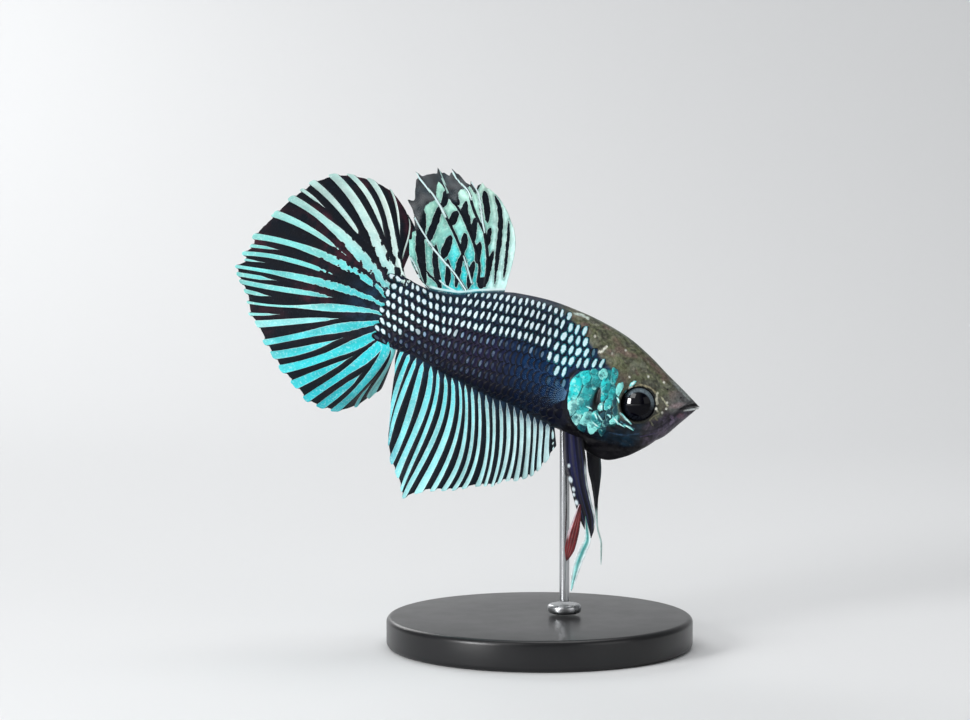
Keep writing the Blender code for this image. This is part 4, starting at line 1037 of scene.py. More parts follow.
def stood_off(p, y):
    """Places points of the side view at a distance y from the fish's mid-plane, so that the side view keeps its outline."""
    w = to_world(np.concatenate([p, np.zeros(p.shape[:-1] + (1,))], -1)) / MM
    x = VIEW_X + (w[..., 0] - VIEW_X) * (1 + y / VIEW_DIST)
    z = w[..., 2] + (w[..., 2] - VIEW_Z) * y / VIEW_DIST - y * math.tan(VIEW_ELEV)
    s, h = from_world_mm(x, z)
    return np.stack([s, h, y], -1)


def across(p):
    """Running length across the grid's lines, at each step along them."""
    return np.concatenate([np.zeros((1, p.shape[1])), np.cumsum(np.linalg.norm(np.diff(p, axis=0), axis=-1), 0)])


def lobes(cols, tip_arc, centres, widths, web):
    """How far the margin draws in at each line: rounded lobes at the bright stripes, a web between."""
    rise = np.zeros(len(cols))
    for c, w in zip(centres, widths):
        k = np.argmin(np.abs(cols - c))
        x = np.abs(tip_arc - tip_arc[k]) / max(w, 0.05)
        rise = np.maximum(rise, min(web, 0.9 * w + 0.14) * np.clip(1 - np.abs(x) ** 3, 0, 1) ** 0.5)
    return web - rise


def fin_material(name, clear=False, gloss=(0.46, 0.36)):
    """Pale membranes where edge is above 0 and dark rays elsewhere, both tinted point by point."""
    k = Nodes(name)
    edge, rag, along = k.attr("edge"), k.attr("rag"), k.attr("mm")
    wob = k.math("SUBTRACT", k.noise(1500, 3, 0.62), 0.5)
    e = k.math("ADD", edge, k.math("MULTIPLY", wob, rag))
    lit = k.ramp(e, -0.030, 0.030)
    bright, dusk = k.attr("tint", True), k.attr("dusk", True)
    cloud, grain = k.noise(640, 4, 0.6), k.noise(3600, 3, 0.6)
    body = k.mix(k.ramp(cloud, 0.36, 0.70, 0.0, 0.50), bright, (0.66, 0.86, 0.88), "MULTIPLY")
    body = k.mix(k.ramp(grain, 0.50, 0.74, 0.0, 0.30), body, (0.90, 1.0, 1.0))
    body = k.mix(k.ramp(e, 0.0, 0.09, 0.50, 0.0), body, (0.78, 0.93, 0.93))
    ray = k.mix(k.ramp(cloud, 0.35, 0.65), dusk, (0.004, 0.007, 0.012))
    ray = k.mix(k.ramp(grain, 0.55, 0.80, 0.0, 0.18), ray, (0.06, 0.10, 0.13))
    col = k.mix(lit, ray, body)
    joint = k.math("SINE", k.math("MULTIPLY", along, 21.0))
    h = k.math("ADD", k.math("MULTIPLY", k.math("MULTIPLY", joint, k.math("SUBTRACT", 1.0, lit)), 0.45), k.math("MULTIPLY", grain, 0.9))
    k.bump(h, 0.28, 0.00005)
    k.set(Base_Color=col, Roughness=k.ramp(lit, 0, 1, *gloss), Specular_IOR_Level=0.12)
    if clear:
        k.set(Alpha=k.math("SUBTRACT", 1.0, k.attr("clear"), clamp=True))
    return k.m


# the tail's bright stripes from its top ray to its bottom one: tip angle from the tail's axis, reach in mm, angle at 0.65 of the reach,
# widths in mm at 0.40, 0.65 and 0.85 of it and at the margin, and the share of the reach where the stripe starts
TAIL = (
    (-82.0, 13.4, -89.0, .36, .34, .29, .30, 0), (-74.5, 15.9, -82.0, 0, .39, .55, .60, .64), (-65.6, 17.4, -75.8, .78, .91, 1.04, 1.05, 0),
    (-57.5, 18.5, -68.2, 0, .42, .85, .90, .54), (-50.9, 19.2, -59.9, 1.29, 1.17, 1.14, 1.10, 0), (-42.5, 19.5, -50.5, 0, .59, .81, .85, .50),
    (-37.5, 19.4, -45.5, 0, 0, .36, .50, .81), (-32.2, 19.4, -40.8, 1.50, 1.24, .96, .95, 0), (-23.4, 19.4, -31.8, 0, .59, .91, .95, .45),
    (-11.9, 19.9, -21.4, 1.11, 1.11, .82, .80, 0), (-8.1, 19.6, -16.6, 0, 0, .44, .48, .82), (-4.4, 20.15, -11.9, .33, .73, .59, .60, .40),
    (-2.3, 19.7, -8.0, 0, 0, .26, .30, .87), (1.0, 20.5, -3.2, 1.17, 1.07, .68, .45, 0), (3.7, 20.0, 1.0, 0, 0, .55, .55, .75),
    (6.2, 19.4, 5.4, .49, .73, .65, .62, .36), (9.4, 18.6, 9.8, 0, 0, .50, .55, .82), (13.8, 18.2, 14.5, 1.04, .59, .40, .36, 0),
    (18.8, 17.9, 19.2, 0, 0, .33, .45, .78), (23.3, 17.0, 24.0, .30, .75, .87, .88, .37), (32.0, 16.4, 33.6, 1.21, .99, .78, .80, 0),
    (38.7, 15.9, 43.9, 0, .65, .98, 1.0, .42), (46.5, 15.7, 53.9, 1.3, 1.04, 1.12, 1.12, 0), (56.0, 15.4, 63.3, 0, .55, 1.17, 1.2, .48),
    (65.3, 15.6, 72.6, 1.3, .98, .91, .95, 0), (73.0, 15.2, 82.4, 0, .56, .98, 1.0, .57), (80.5, 14.6, 91.9, 1.1, 1.14, 1.1, 1.1, 0),
    (90.4, 13.0, 99.5, 0, 0, .52, .60, .73), (98.6, 11.05, 110.0, .80, 1.15, 1.25, 1.3, 0))
TAIL_EDGES = (-88.0, 11.2, -94.0), (103.0, 9.8, 114.0)
TAIL_INNER = ((-88, -82, -65.6, -50.9, -42.5, -32.2, -23.4, -11.9, -4.4, 1, 6.2, 13.8, 23.3, 32, 46.5, 65.3, 80.5, 98, 103),
              (-101, -96.5, -84.7, -68.4, -58.5, -49.6, -39.5, -31, -18, -8.3, 3, 13.2, 25.2, 36.6, 63, 85, 104, 118, 122))
TAIL_BASE = ((-88, -82, -65.6, -50.9, -32.2, -11.9, 1, 13.8, 32, 46.5, 65.3, 80.5, 98, 103), (0, .03, .12, .21, .31, .40, .49, .58, .67, .75, .84, .92, .98, 1))


def polar(angle, r):
    a = np.radians(angle)
    return np.stack([HYPURAL[0] + r * np.cos(a), HYPURAL[1] - r * np.sin(a)], -1)


def build_caudal():
    nv = 92
    rows = [TAIL_EDGES[0]] + [t[:3] for t in TAIL] + [TAIL_EDGES[1]]
    tips, reach_, mid_ = ([r[i] for r in rows] for i in range(3))
    cols = set(np.arange(tips[0], tips[-1] + 0.01, 0.46).tolist())
    for t in TAIL:
        w = math.degrees(0.66 * t[6] / t[1])
        cols = {c for c in cols if min(abs(c - t[0] - f * w) for f in (-1.0, 0.0, 1.0)) > 0.17}
        cols.update([t[0] - w, t[0] - 0.72 * w, t[0], t[0] + 0.72 * w, t[0] + w])
    cols = np.array(sorted(cols | {tips[0], tips[-1]}))
    cols = cols[np.concatenate([[True], np.diff(cols) > 0.06])]
    reach = curve(cols, tips, reach_)
    bh = 4.1 - 8.9 * curve(cols, *TAIL_BASE)
    base = np.stack([41.75 - 0.055 * (bh + 0.5) ** 2, bh], -1)
    P = np.stack([base, polar(curve(cols, *TAIL_INNER), 0.40 * reach), polar(curve(cols, tips, mid_), 0.65 * reach), polar(cols, reach)], 1)
    flat = np.repeat(np.linspace(0, 1, nv)[None], len(cols), 0)
    p, length = lines_through(P, flat)
    tip_arc = across(p)[:, -1]
    pull = lobes(cols, tip_arc, [t[0] for t in TAIL], [0.66 * t[6] for t in TAIL], 0.46)
    pull += 0.05 * noise2(cols * 0.9, cols * 0, 31)
    v = flat * (1 - pull / length)[:, None]
    p, _ = lines_through(P, v)
    arc = across(p)
    rho = np.hypot(p[..., 0] - HYPURAL[0], p[..., 1] - HYPURAL[1]) / reach[:, None]
    edge = np.full(arc.shape, -0.6)
    for t in TAIL:
        k = int(np.argmin(np.abs(cols - t[0])))
        first = 0.44 if t[7] == 0 else 0.0
        width = curve(rho[k], (0.10, 0.40, 0.65, 0.85, 1.0), (first, max(t[3], 0.001), max(t[4], 0.001), t[5], 1.08 * t[6]))
        if t[7] > 0:
            width = width * smooth(t[7] - 0.015, t[7] + 0.12, rho[k])
            width = np.where(rho[k] < t[7] - 0.015, -0.6, width)
        edge = np.maximum(edge, 0.60 * width[None] - np.abs(arc - arc[k][None]))
    A = np.repeat(cols[:, None], nv, 1)
    notch = smooth(0.15, 0.65, noise2(arc * 1.9, rho * 13, 61)) * smooth(0.66, 0.42, rho) * smooth(14, -14, A) * smooth(0.05, 0.16, rho)
    edge = np.where(edge > -0.3, edge - 0.42 * notch, edge)
    lower, upper = smooth(5, 100, A), smooth(5, 85, -A)
    y = 6.6 * lower * v**1.5 + 1.5 * upper * v**1.2 + 0.30 * np.sin(np.radians(A * 5.0)) * v**2
    y = y + 0.13 * np.clip(edge, -0.25, 0.45) * v
    mid = stood_off(p, y)
    ridge = smooth(0.03, -0.22, edge) * (1 - 0.5 * v)
    half = (0.052 + 0.10 * ridge) * (0.42 + 0.58 * smooth(1.0, 0.93, v)) - 0.014 * np.exp(-((edge / 0.06) ** 2)) + 0.17 * smooth(0.14, 0.0, v)
    tint = tones(A, ((-88, 226, 242, 236), (-66, 220, 240, 234), (-50, 204, 234, 228), (-40, 200, 230, 224), (-30, 178, 232, 226), (-12, 140, 228, 224),
                     (0, 128, 230, 228), (14, 150, 238, 234), (24, 156, 238, 238), (32, 92, 224, 230), (50, 60, 220, 228), (70, 56, 214, 226), (84, 82, 212, 222), (98, 150, 238, 238), (103, 150, 238, 238)))
    inner = smooth(0.62, 0.25, rho) * smooth(-75, -15, A)
    tint = blend(tint, srgb(40, 206, 214), 0.62 * inner)
    tint = blend(tint, srgb(150, 198, 190), 0.40 * smooth(0.84, 1.0, rho) * smooth(70, 20, A))
    tint = tint * (0.80 + 0.13 * noise2(A * 0.16, rho * 7, 6) + 0.09 * noise2(A * 0.5, rho * 16, 8))[..., None]
    dusk = blend(np.zeros(A.shape + (3,)) + srgb(18, 20, 26), srgb(58, 30, 40), smooth(-0.1, 0.6, noise2(A * 0.12, rho * 4, 9)))
    dusk = blend(dusk, srgb(12, 24, 28), smooth(0, 45, A) * 0.7)
    dusk = blend(dusk, srgb(30, 56, 78), smooth(0.36, 0.14, rho) * 0.7)
    rag = 0.10 + 0.62 * smooth(0.62, 0.30, rho) * smooth(20, -10, A) + 0.25 * smooth(0.45, 0.15, rho)
    ob = double_sheet("tail_fin", mid, half, {"edge": edge, "rag": rag, "mm": v * length[:, None], "tint": tint, "dusk": dusk}, fin_material("tail_fin"))
    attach(ob, "root")
    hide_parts("caudal_fin")
    return ob


# the anal fin's stripes from front to rear: where each tip is, and how far its line bows at a third and two thirds of the way, in mm
ANAL_S0, ANAL_PITCH = 18.2, 0.985
ANAL_AT = (-1,) + tuple(range(22)) + (21.7,)
ANAL_TIP_S = (15.9, 16.6, 17.2, 17.85, 18.65, 19.65, 20.7, 21.65, 22.35, 23.25, 24.2, 25.8, 27.0, 28.25, 29.6, 31.25, 32.9, 33.5, 34.7, 36.0, 37.0, 37.5, 38.8, 39.5)
ANAL_TIP_H = (-10.9, -12.8, -14.25, -15.3, -15.95, -16.6, -16.95, -17.6, -18.25, -18.55, -18.85, -19.7, -20.3, -20.75, -21.25, -22.05, -23.3, -22.35, -20.7, -19.2, -16.95, -14.5, -8.5, -6.6)
ANAL_BOW = ((-1, 0, 2, 4, 6, 8, 10, 12, 13, 15, 16, 17, 18, 19, 20, 21.7), (0, -.03, -.19, -.37, -.62, -.55, -.85, -1.15, -1.4, -1.5, -1.0, -.9, -.3, .19, .38, -.05),
            (0, .04, -.10, -.38, -.70, -.64, -1.1, -1.35, -1.25, -1.05, -.55, -.55, -.4, .34, .53, -.1))


def build_anal():
    nv = 86
    cols = set(np.round(np.arange(-1, 21.71, 0.062), 4).tolist()) | {21.7}
    for k in range(22):
        cols = {c for c in cols if min(abs(c - k - f) for f in (-0.28, 0.0, 0.28)) > 0.02}
        cols.update([k - 0.28, k, k + 0.28])
    t = np.array(sorted(cols))
    bs = ANAL_S0 + ANAL_PITCH * t
    base = np.stack([bs, curve(bs, BODY_S, BOTTOM) + 0.55], -1)
    tip = np.stack([curve(t, ANAL_AT, ANAL_TIP_S), curve(t, ANAL_AT, ANAL_TIP_H)], -1)
    chord = tip - base
    L = np.linalg.norm(chord, axis=1, keepdims=True)
    n = np.stack([-chord[:, 1], chord[:, 0]], -1) / L
    P = np.stack([base, base + chord / 3 + n * curve(t, ANAL_BOW[0], ANAL_BOW[1])[:, None], base + chord * 2 / 3 + n * curve(t, ANAL_BOW[0], ANAL_BOW[2])[:, None], tip], 1)
    flat = np.repeat(np.linspace(0, 1, nv)[None], len(t), 0)
    p, length = lines_through(P, flat)
    arc = across(p)
    at = lambda x: int(np.argmin(np.abs(t - x)))
    share = []
    for k in range(22):
        room = arc[min(at(k + 0.5), len(t) - 1)] - arc[max(at(k - 0.5), 0)]
        vv = flat[0]
        f = 0.44 + 0.16 * float(smooth(9, 3, k)) + 0.06 * math.sin(k * 2.3) * float(smooth(0, 1, k)) + (0.07 * np.sin(np.pi * vv) if k > 13 else 0.0) + 0.14 * smooth(0.72, 1.0, vv)
        share.append(room * f)
    pull = lobes(t, arc[:, -1], range(22), [w[-1] / 2 for w in share], 0.42) + 0.04 * noise2(t * 2.3, t * 0, 12)
    v = flat * (1 - pull / length)[:, None]
    p, _ = lines_through(P, v)
    arc = across(p)
    edge = np.full(arc.shape, -0.5)
    for k in range(22):
        w = share[k] * smooth(0.02, 0.09 + 0.10 * float(smooth(13, 6, k)), flat[0])
        edge = np.maximum(edge, w[None] / 2 - np.abs(arc - arc[at(k)][None]))
    bits = 0.15 * smooth(-0.2, 0.8, np.sin(flat * 19.0 + 2.2 * np.sin(flat * 8.0))) * smooth(0.25, 0.40, flat)
    edge = np.maximum(edge, np.where(flat > 0.25, bits - np.abs(arc - arc[at(-0.72)][None]), -0.5))
    T = np.repeat(t[:, None], nv, 1)
    u = (T + 1) / 22.7
    y = (-0.5 * np.sin(3.0 * u) + 0.28 * np.sin(17 * u) + 1.2 * smooth(0.5, 0.78, u)) * v**1.8 + 0.12 * np.clip(edge, -0.2, 0.4) * v
    mid = stood_off(p, y)
    ridge = smooth(0.03, -0.2, edge) * (1 - 0.45 * v)
    half = (0.05 + 0.095 * ridge) * (0.42 + 0.58 * smooth(1.0, 0.93, v)) + 0.16 * smooth(0.12, 0.0, v)
    tint = tones(T, ((-1, 206, 240, 244), (4, 204, 242, 244), (9, 184, 240, 242), (14, 158, 236, 240), (18, 134, 226, 232), (21.7, 110, 216, 222)))
    tint = blend(tint, srgb(72, 226, 234), 0.55 * smooth(0.55, 0.15, v) * smooth(8, 14, T))
    tint = blend(tint, srgb(186, 226, 224), 0.40 * smooth(0.72, 1.0, v) * smooth(19, 15, T))
    tint = blend(tint, srgb(22, 62, 104), (1 - smooth(0.06, 0.30, v)) * smooth(13, 5, T) * 0.9)
    tint = blend(tint, srgb(60, 130, 150), smooth(0.72, 0.95, v) * smooth(17, 18.2, T) * 0.5)
    tint = tint * (0.82 + 0.14 * noise2(T * 0.8, v * 6, 16) + 0.09 * noise2(T * 2.4, v * 13, 17))[..., None]
    dusk = blend(np.zeros(T.shape + (3,)) + srgb(8, 18, 26), srgb(18, 40, 60), smooth(0.3, 0.05, v))
    ob = double_sheet("anal_fin_skin", mid, half, {"edge": edge, "rag": 0.09 + 0.14 * smooth(0.3, 0.05, v), "mm": v * length[:, None], "tint": tint, "dusk": dusk}, fin_material("anal_fin"))
    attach(ob, "root")
    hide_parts("anal_fin")


# lines of the dorsal fin from front to rear: a base place on the back, a third and two thirds of the way, and the tip
DORSAL = (
    (28.62, (28.81, 9.91), (29.38, 13.14), (31.15, 15.71)), (29.74, (30.26, 10.67), (31.17, 15.16), (34.11, 18.31)),
    (30.60, (31.65, 10.63), (33.19, 15.19), (35.83, 18.98)), (31.28, (32.30, 10.42), (34.49, 14.77), (37.25, 18.72)),
    (31.75, (32.85, 10.55), (35.77, 15.44), (40.10, 19.50)), (32.20, (34.14, 10.64), (38.08, 14.97), (41.87, 19.06)),
    (32.77, (35.83, 9.95), (39.93, 14.36), (44.43, 17.69)), (33.14, (36.24, 8.46), (39.87, 11.24), (44.29, 13.90)),
    (33.60, (36.53, 7.27), (39.64, 9.26), (42.87, 12.04)), (34.95, (37.24, 5.67), (39.95, 7.25), (42.56, 9.00)),
    (36.70, (38.36, 4.48), (40.21, 5.53), (41.76, 6.94)), (38.29, (38.94, 4.16), (39.68, 4.74), (40.29, 5.36)))
# its rays as drawn on it: the points of each; how wide and how pale each is set from its place in this list
DORSAL_RAYS = (
    ((33.53, 5.10), (35.69, 6.79), (37.39, 7.81), (39.30, 9.03), (41.40, 10.74), (42.71, 11.96)),
    ((33.10, 6.20), (33.99, 7.57), (35.54, 9.68), (37.30, 11.73), (39.12, 13.53), (41.06, 15.30), (42.96, 16.52), (44.39, 17.56)),
    ((32.40, 6.60), (32.64, 8.12), (33.88, 10.45), (35.87, 12.99), (37.56, 14.72), (39.23, 16.00), (41.60, 18.90)),
    ((33.45, 12.92), (34.11, 13.56), (35.89, 15.50), (37.10, 17.33), (38.85, 18.30), (40.02, 19.26)),
    ((31.40, 6.40), (31.56, 7.52), (32.05, 9.68), (33.33, 12.55), (34.41, 14.61), (35.91, 17.54), (37.15, 18.64)),
    ((38.37, 3.87), (39.60, 4.49), (40.18, 5.44), (40.82, 6.15), (41.59, 6.85)),
    ((34.70, 4.58), (36.05, 4.82), (37.11, 5.25)))
# the black bars between them: from, to, half width
DORSAL_BARS = (
    (((41.97, 13.35), (41.63, 11.61), (41.14, 9.37), (40.22, 7.08), (38.68, 4.16)), 0.49), (((40.07, 14.70), (40.01, 12.69), (40.11, 10.63), (40.14, 9.41)), 0.40),
    (((39.04, 9.59), (38.51, 7.64), (37.54, 5.55), (36.57, 4.11)), 0.33), (((37.55, 11.27), (37.61, 9.59), (37.68, 7.91)), 0.44),
    (((37.06, 8.29), (36.38, 6.48), (35.93, 4.69)), 0.28), (((39.92, 16.69), (39.73, 15.55), (39.64, 14.29)), 0.35),
    (((37.69, 14.55), (37.86, 13.58), (37.90, 12.45)), 0.42), (((35.41, 9.47), (35.32, 7.75), (34.83, 4.95)), 0.30),
    (((35.96, 12.16), (35.60, 10.80), (35.37, 9.40)), 0.35), (((33.68, 9.02), (33.60, 7.57), (33.29, 5.27)), 0.32),
    (((37.03, 16.15), (36.88, 15.00), (36.14, 13.76), (35.35, 12.36)), 0.37), (((35.28, 14.41), (34.98, 12.85), (34.50, 11.25)), 0.32),
    (((33.73, 11.68), (33.47, 10.20), (33.24, 8.80)), 0.30), (((35.27, 18.11), (34.37, 16.37), (33.53, 14.24)), 0.35),
    (((33.02, 13.76), (32.87, 12.61), (32.63, 11.21)), 0.26), (((31.71, 11.05), (31.62, 9.32), (31.23, 6.59)), 0.25),
    (((31.79, 7.42), (31.86, 6.66), (31.83, 5.83)), 0.42), (((33.77, 17.95), (32.67, 16.55), (31.94, 14.76), (31.37, 12.54), (30.95, 10.28), (30.16, 6.84)), 0.26),
    (((31.07, 15.50), (30.39, 13.23), (29.81, 10.65), (29.30, 7.95)), 0.16), (((39.42, 6.05), (38.26, 5.32), (37.07, 4.78)), 0.12),
    (((37.71, 15.29), (38.79, 16.04), (39.44, 16.75)), 0.44), (((34.54, 11.51), (33.86, 10.26), (33.42, 8.92)), 0.11))
# pale cells that stand alone in its clear rear part: from, to, half width
DORSAL_ISLANDS = (
    ((41.23, 17.32), (40.11, 16.20), 0.23), ((37.64, 17.34), (37.10, 15.67), 0.67), ((41.36, 14.14), (40.48, 11.58), 0.54),
    ((42.16, 10.33), (40.88, 6.86), 0.39), ((39.09, 15.54), (38.23, 14.16), 0.35))
DORSAL_CLEAR = ((42.17, 6.12), (42.72, 9.49), (41.85, 10.60), (41.83, 13.88), (40.83, 15.03), (41.19, 16.96), (40.00, 16.67), (39.27, 15.67), (38.12, 15.50),
                (38.23, 17.10), (37.15, 18.00), (36.21, 17.21), (35.6, 19.5), (40.0, 21.0), (46.0, 19.0), (45.0, 10.0), (43.5, 6.0))


def build_dorsal():
    per, nv = 16, 138
    n = len(DORSAL)
    u = np.linspace(0, n - 1, (n - 1) * per + 1)
    idx = np.arange(n)
    bs = curve(u, idx, [q[0] for q in DORSAL])
    col = lambda i, c: curve(u, idx, [q[i][c] for q in DORSAL])
    P = np.stack([np.stack([bs, curve(bs, BODY_S, TOP) - 0.55], -1)] + [np.stack([col(i, 0), col(i, 1)], -1) for i in (1, 2, 3)], 1)
    flat = np.repeat(np.linspace(0, 1, nv)[None], len(u), 0)
    p, length = lines_through(P, flat)
    # the web draws in between the free ends of the rays
    f = np.abs(u - np.round(u))
    depth = curve(u, (0, 1, 2, 3, 5, 7, 8, 9, 11), (0.25, 0.5, 0.7, 0.95, 1.15, 1.1, 0.7, 0.5, 0.15))
    tooth = (1 - np.exp(-((f / 0.10) ** 2))) * (0.75 + 0.35 * noise2(u * 4, u * 0, 3))
    v = flat * (1 - np.clip(depth * tooth, 0, None) / length)[:, None]
    p, _ = lines_through(P, v)
    s, h = p[..., 0], p[..., 1]
    edge = np.full(s.shape, 0.5)
    wavy = 0.05 * noise2(s * 2.1, h * 2.1, 51) + 0.035 * noise2(s * 5.5, h * 5.5, 52)
    for pts, w in DORSAL_BARS:
        d, t = line_distance(s, h, pts, 20)
        x = np.abs(2 * t - 1)
        edge = np.minimum(edge, d - (1.18 * w + 0.03) * np.clip(1 - x**3.2, 0, 1) ** 0.7 + wavy)
    tint = tones(h, ((4, 52, 212, 220), (8, 72, 220, 224), (11, 138, 230, 222), (14, 178, 234, 220), (19, 206, 238, 224)))
    tint = blend(tint, srgb(156, 208, 190), 0.75 * smooth(36.8, 39.6, s + 0.15 * (12 - h)))
    tint = blend(tint, srgb(212, 240, 234), 0.85 * smooth(32.6, 31.2, s - 0.20 * (h - 10)))
    tint = blend(tint, srgb(44, 214, 220), 0.6 * np.exp(-(((s - 34.8) / 1.7) ** 2 + ((h - 7.5) / 2.4) ** 2)))
    tint = tint * (0.88 + 0.20 * noise2(s * 1.6, h * 1.3, 18) + 0.14 * noise2(s * 4, h * 2, 19))[..., None]
    clear = smooth(-0.25, 0.35, outline_distance(s, h, DORSAL_CLEAR))
    white = np.zeros(s.shape)
    ridge = np.zeros(s.shape)
    green = srgb(10, 60, 56)
    for k, pts in enumerate(DORSAL_RAYS):
        d, along = line_distance(s, h, pts, 60)
        ridge = np.maximum(ridge, np.exp(-((d / 0.15) ** 2)))
        if k == 0:
            w = 1.0
        elif k == 1:
            w = np.maximum(smooth(0.50, 0.60, along), smooth(0.30, 0.22, along) * 0.8)
        elif k == 2:
            w = 0.55 * smooth(0.80, 0.9, along)
        elif k == 3:
            w = smooth(0.42, 0.55, along)
        elif k == 4:
            w = smooth(0.48, 0.58, along)
        else:
            w = 0.9
        # a pale core where the ray is pale, between dark margins
        edge = np.where(k != 6, np.minimum(edge, d - curve(along, (0, 0.5, 1), (0.20, 0.19, 0.12))), edge)
        tint = blend(tint, green, smooth(0.17, 0.05, d) * (1 - w) * 0.6)
        white = np.maximum(white, smooth(0.16 if k in (1, 2) else 0.125, 0.07, d) * w)
    # the pale seam along the fin's base
    seam = smooth(0.22, 0.06, np.abs(h - curve(s, BODY_S, TOP) - 0.26)) * smooth(28.0, 28.6, s) * smooth(38.6, 37.6, s)
    white = np.maximum(white, 0.9 * seam)
    tint = blend(tint, srgb(212, 230, 232), white)
    tint = blend(tint, srgb(40, 112, 98), (0.60 + 0.25 * noise2(s * 1.3, h * 1.1, 27)) * smooth(0.42, 0.0, edge) * (1 - white))
    tint = blend(tint, srgb(16, 44, 66), smooth(0.16, 0.02, h - curve(s, BODY_S, TOP)) * 0.9)
    edge = np.maximum(edge, (white - 0.5) * 0.4)
    edge = np.where(clear > 0.5, np.where(white > 0.35, 0.2, -0.3), edge)
    for a_, b_, w in DORSAL_ISLANDS:
        d, t = line_distance(s, h, (a_, b_), 6)
        isle = w * np.sqrt(np.clip(1 - np.abs(2 * t - 1) ** 4, 0, 1)) - d + wavy
        edge = np.where(clear > 0.5, np.maximum(edge, isle), edge)
        clear = np.minimum(clear, smooth(0.10, -0.25, isle))
    glass = clear * (0.30 - 0.12 * noise2(s * 1.2, h * 1.2, 7)) * (1 - white)
    y = (-0.9 * np.sin(0.19 * u + 0.3) + 0.24 * np.sin(1.4 * u))[:, None] * v**1.4 + 0.05 * np.sin(f * 2 * np.pi)[:, None] * v
    mid = stood_off(p, y)
    half = (0.048 + 0.085 * ridge * (1 - 0.45 * v) + 0.03 * smooth(0.05, -0.2, edge) * (1 - clear)) * (0.5 + 0.5 * smooth(1.0, 0.93, v)) + 0.16 * smooth(0.09, 0.0, v)
    dusk = blend(np.zeros(s.shape + (3,)) + srgb(6, 12, 20), srgb(16, 40, 50), clear)
    ob = double_sheet("dorsal_fin_skin", mid, half, {"edge": edge, "rag": 0.20 + 0.05 * clear, "mm": v * length[:, None], "tint": tint, "dusk": dusk, "clear": glass}, fin_material("dorsal_fin", clear=True))
    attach(ob, "root")
    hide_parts("dorsal_fin")


def build_pectorals():
    k = Nodes("pectoral_fin")
    ray, vv = k.attr("ray"), k.attr("vv")
    on_ray = k.ramp(ray, 0.085, 0.02)
    streak = k.math("MULTIPLY", on_ray, k.ramp(vv, 0.03, 0.60, 1.0, 0.0))
    fine = k.noise(700, 3, 0.6)
    col = k.mix(streak, k.mix(k.ramp(fine, 0.3, 0.7), srgb(30, 62, 98), srgb(20, 46, 84)), srgb(108, 154, 196))
    alpha = k.math("ADD", k.ramp(vv, 0.0, 0.7, 0.10, 0.02), k.math("ADD", k.math("MULTIPLY", streak, 0.36), k.math("MULTIPLY", on_ray, 0.05)), clamp=True)
    k.bump(fine, 0.1, 0.00003)
    k.set(Base_Color=col, Alpha=alpha, Roughness=0.4, Specular_IOR_Level=0.05)
    rays = 11
    nu, nv = rays * 9 + 1, 60
    U, V = np.meshgrid(np.linspace(0, 1, nu), np.linspace(0, 1, nv), indexing="ij")
    for side, sign in (("left", 1), ("right", -1)):
        a = np.radians(34.0 - 74.0 * U)
        length = curve(U, (0, 0.3, 0.6, 1.0), (6.6, 8.2, 7.6, 4.6)) * (1 - 0.03 * np.abs(np.cos(U * rays * np.pi)) * smooth(0.8, 1, V))
        out, back = math.sin(math.radians(24.0)), math.cos(math.radians(24.0))
        s = 17.15 + length * V * np.cos(a) * back
        h = -3.75 - 0.95 * U + 0.5 + length * V * np.sin(a)
        y = 3.78 + 0.20 * np.cos(3 * U) + length * V * np.cos(a) * out + 0.5 * V * V * np.sin(np.pi * U) + 0.06 * np.sin(U * rays * 2 * np.pi) * V
        mid = np.stack([s, h, sign * y], -1)
        f = (U * rays) % 1.0
        step = np.linalg.norm(np.diff(mid, axis=0), axis=-1) * (nu - 1)
        arc = np.concatenate([step, step[-1:]])
        ray_ = np.minimum(f, 1 - f) / rays * arc
        half = 0.03 + 0.05 * np.exp(-((ray_ / 0.10) ** 2)) * (1 - 0.6 * V) + 0.08 * smooth(0.15, 0, V)
        ob = double_sheet(f"pectoral_fin_{side}", mid, half, {"ray": ray_, "vv": V}, k.m)
        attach(ob, "root")
        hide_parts(f"pectoral_{side}")


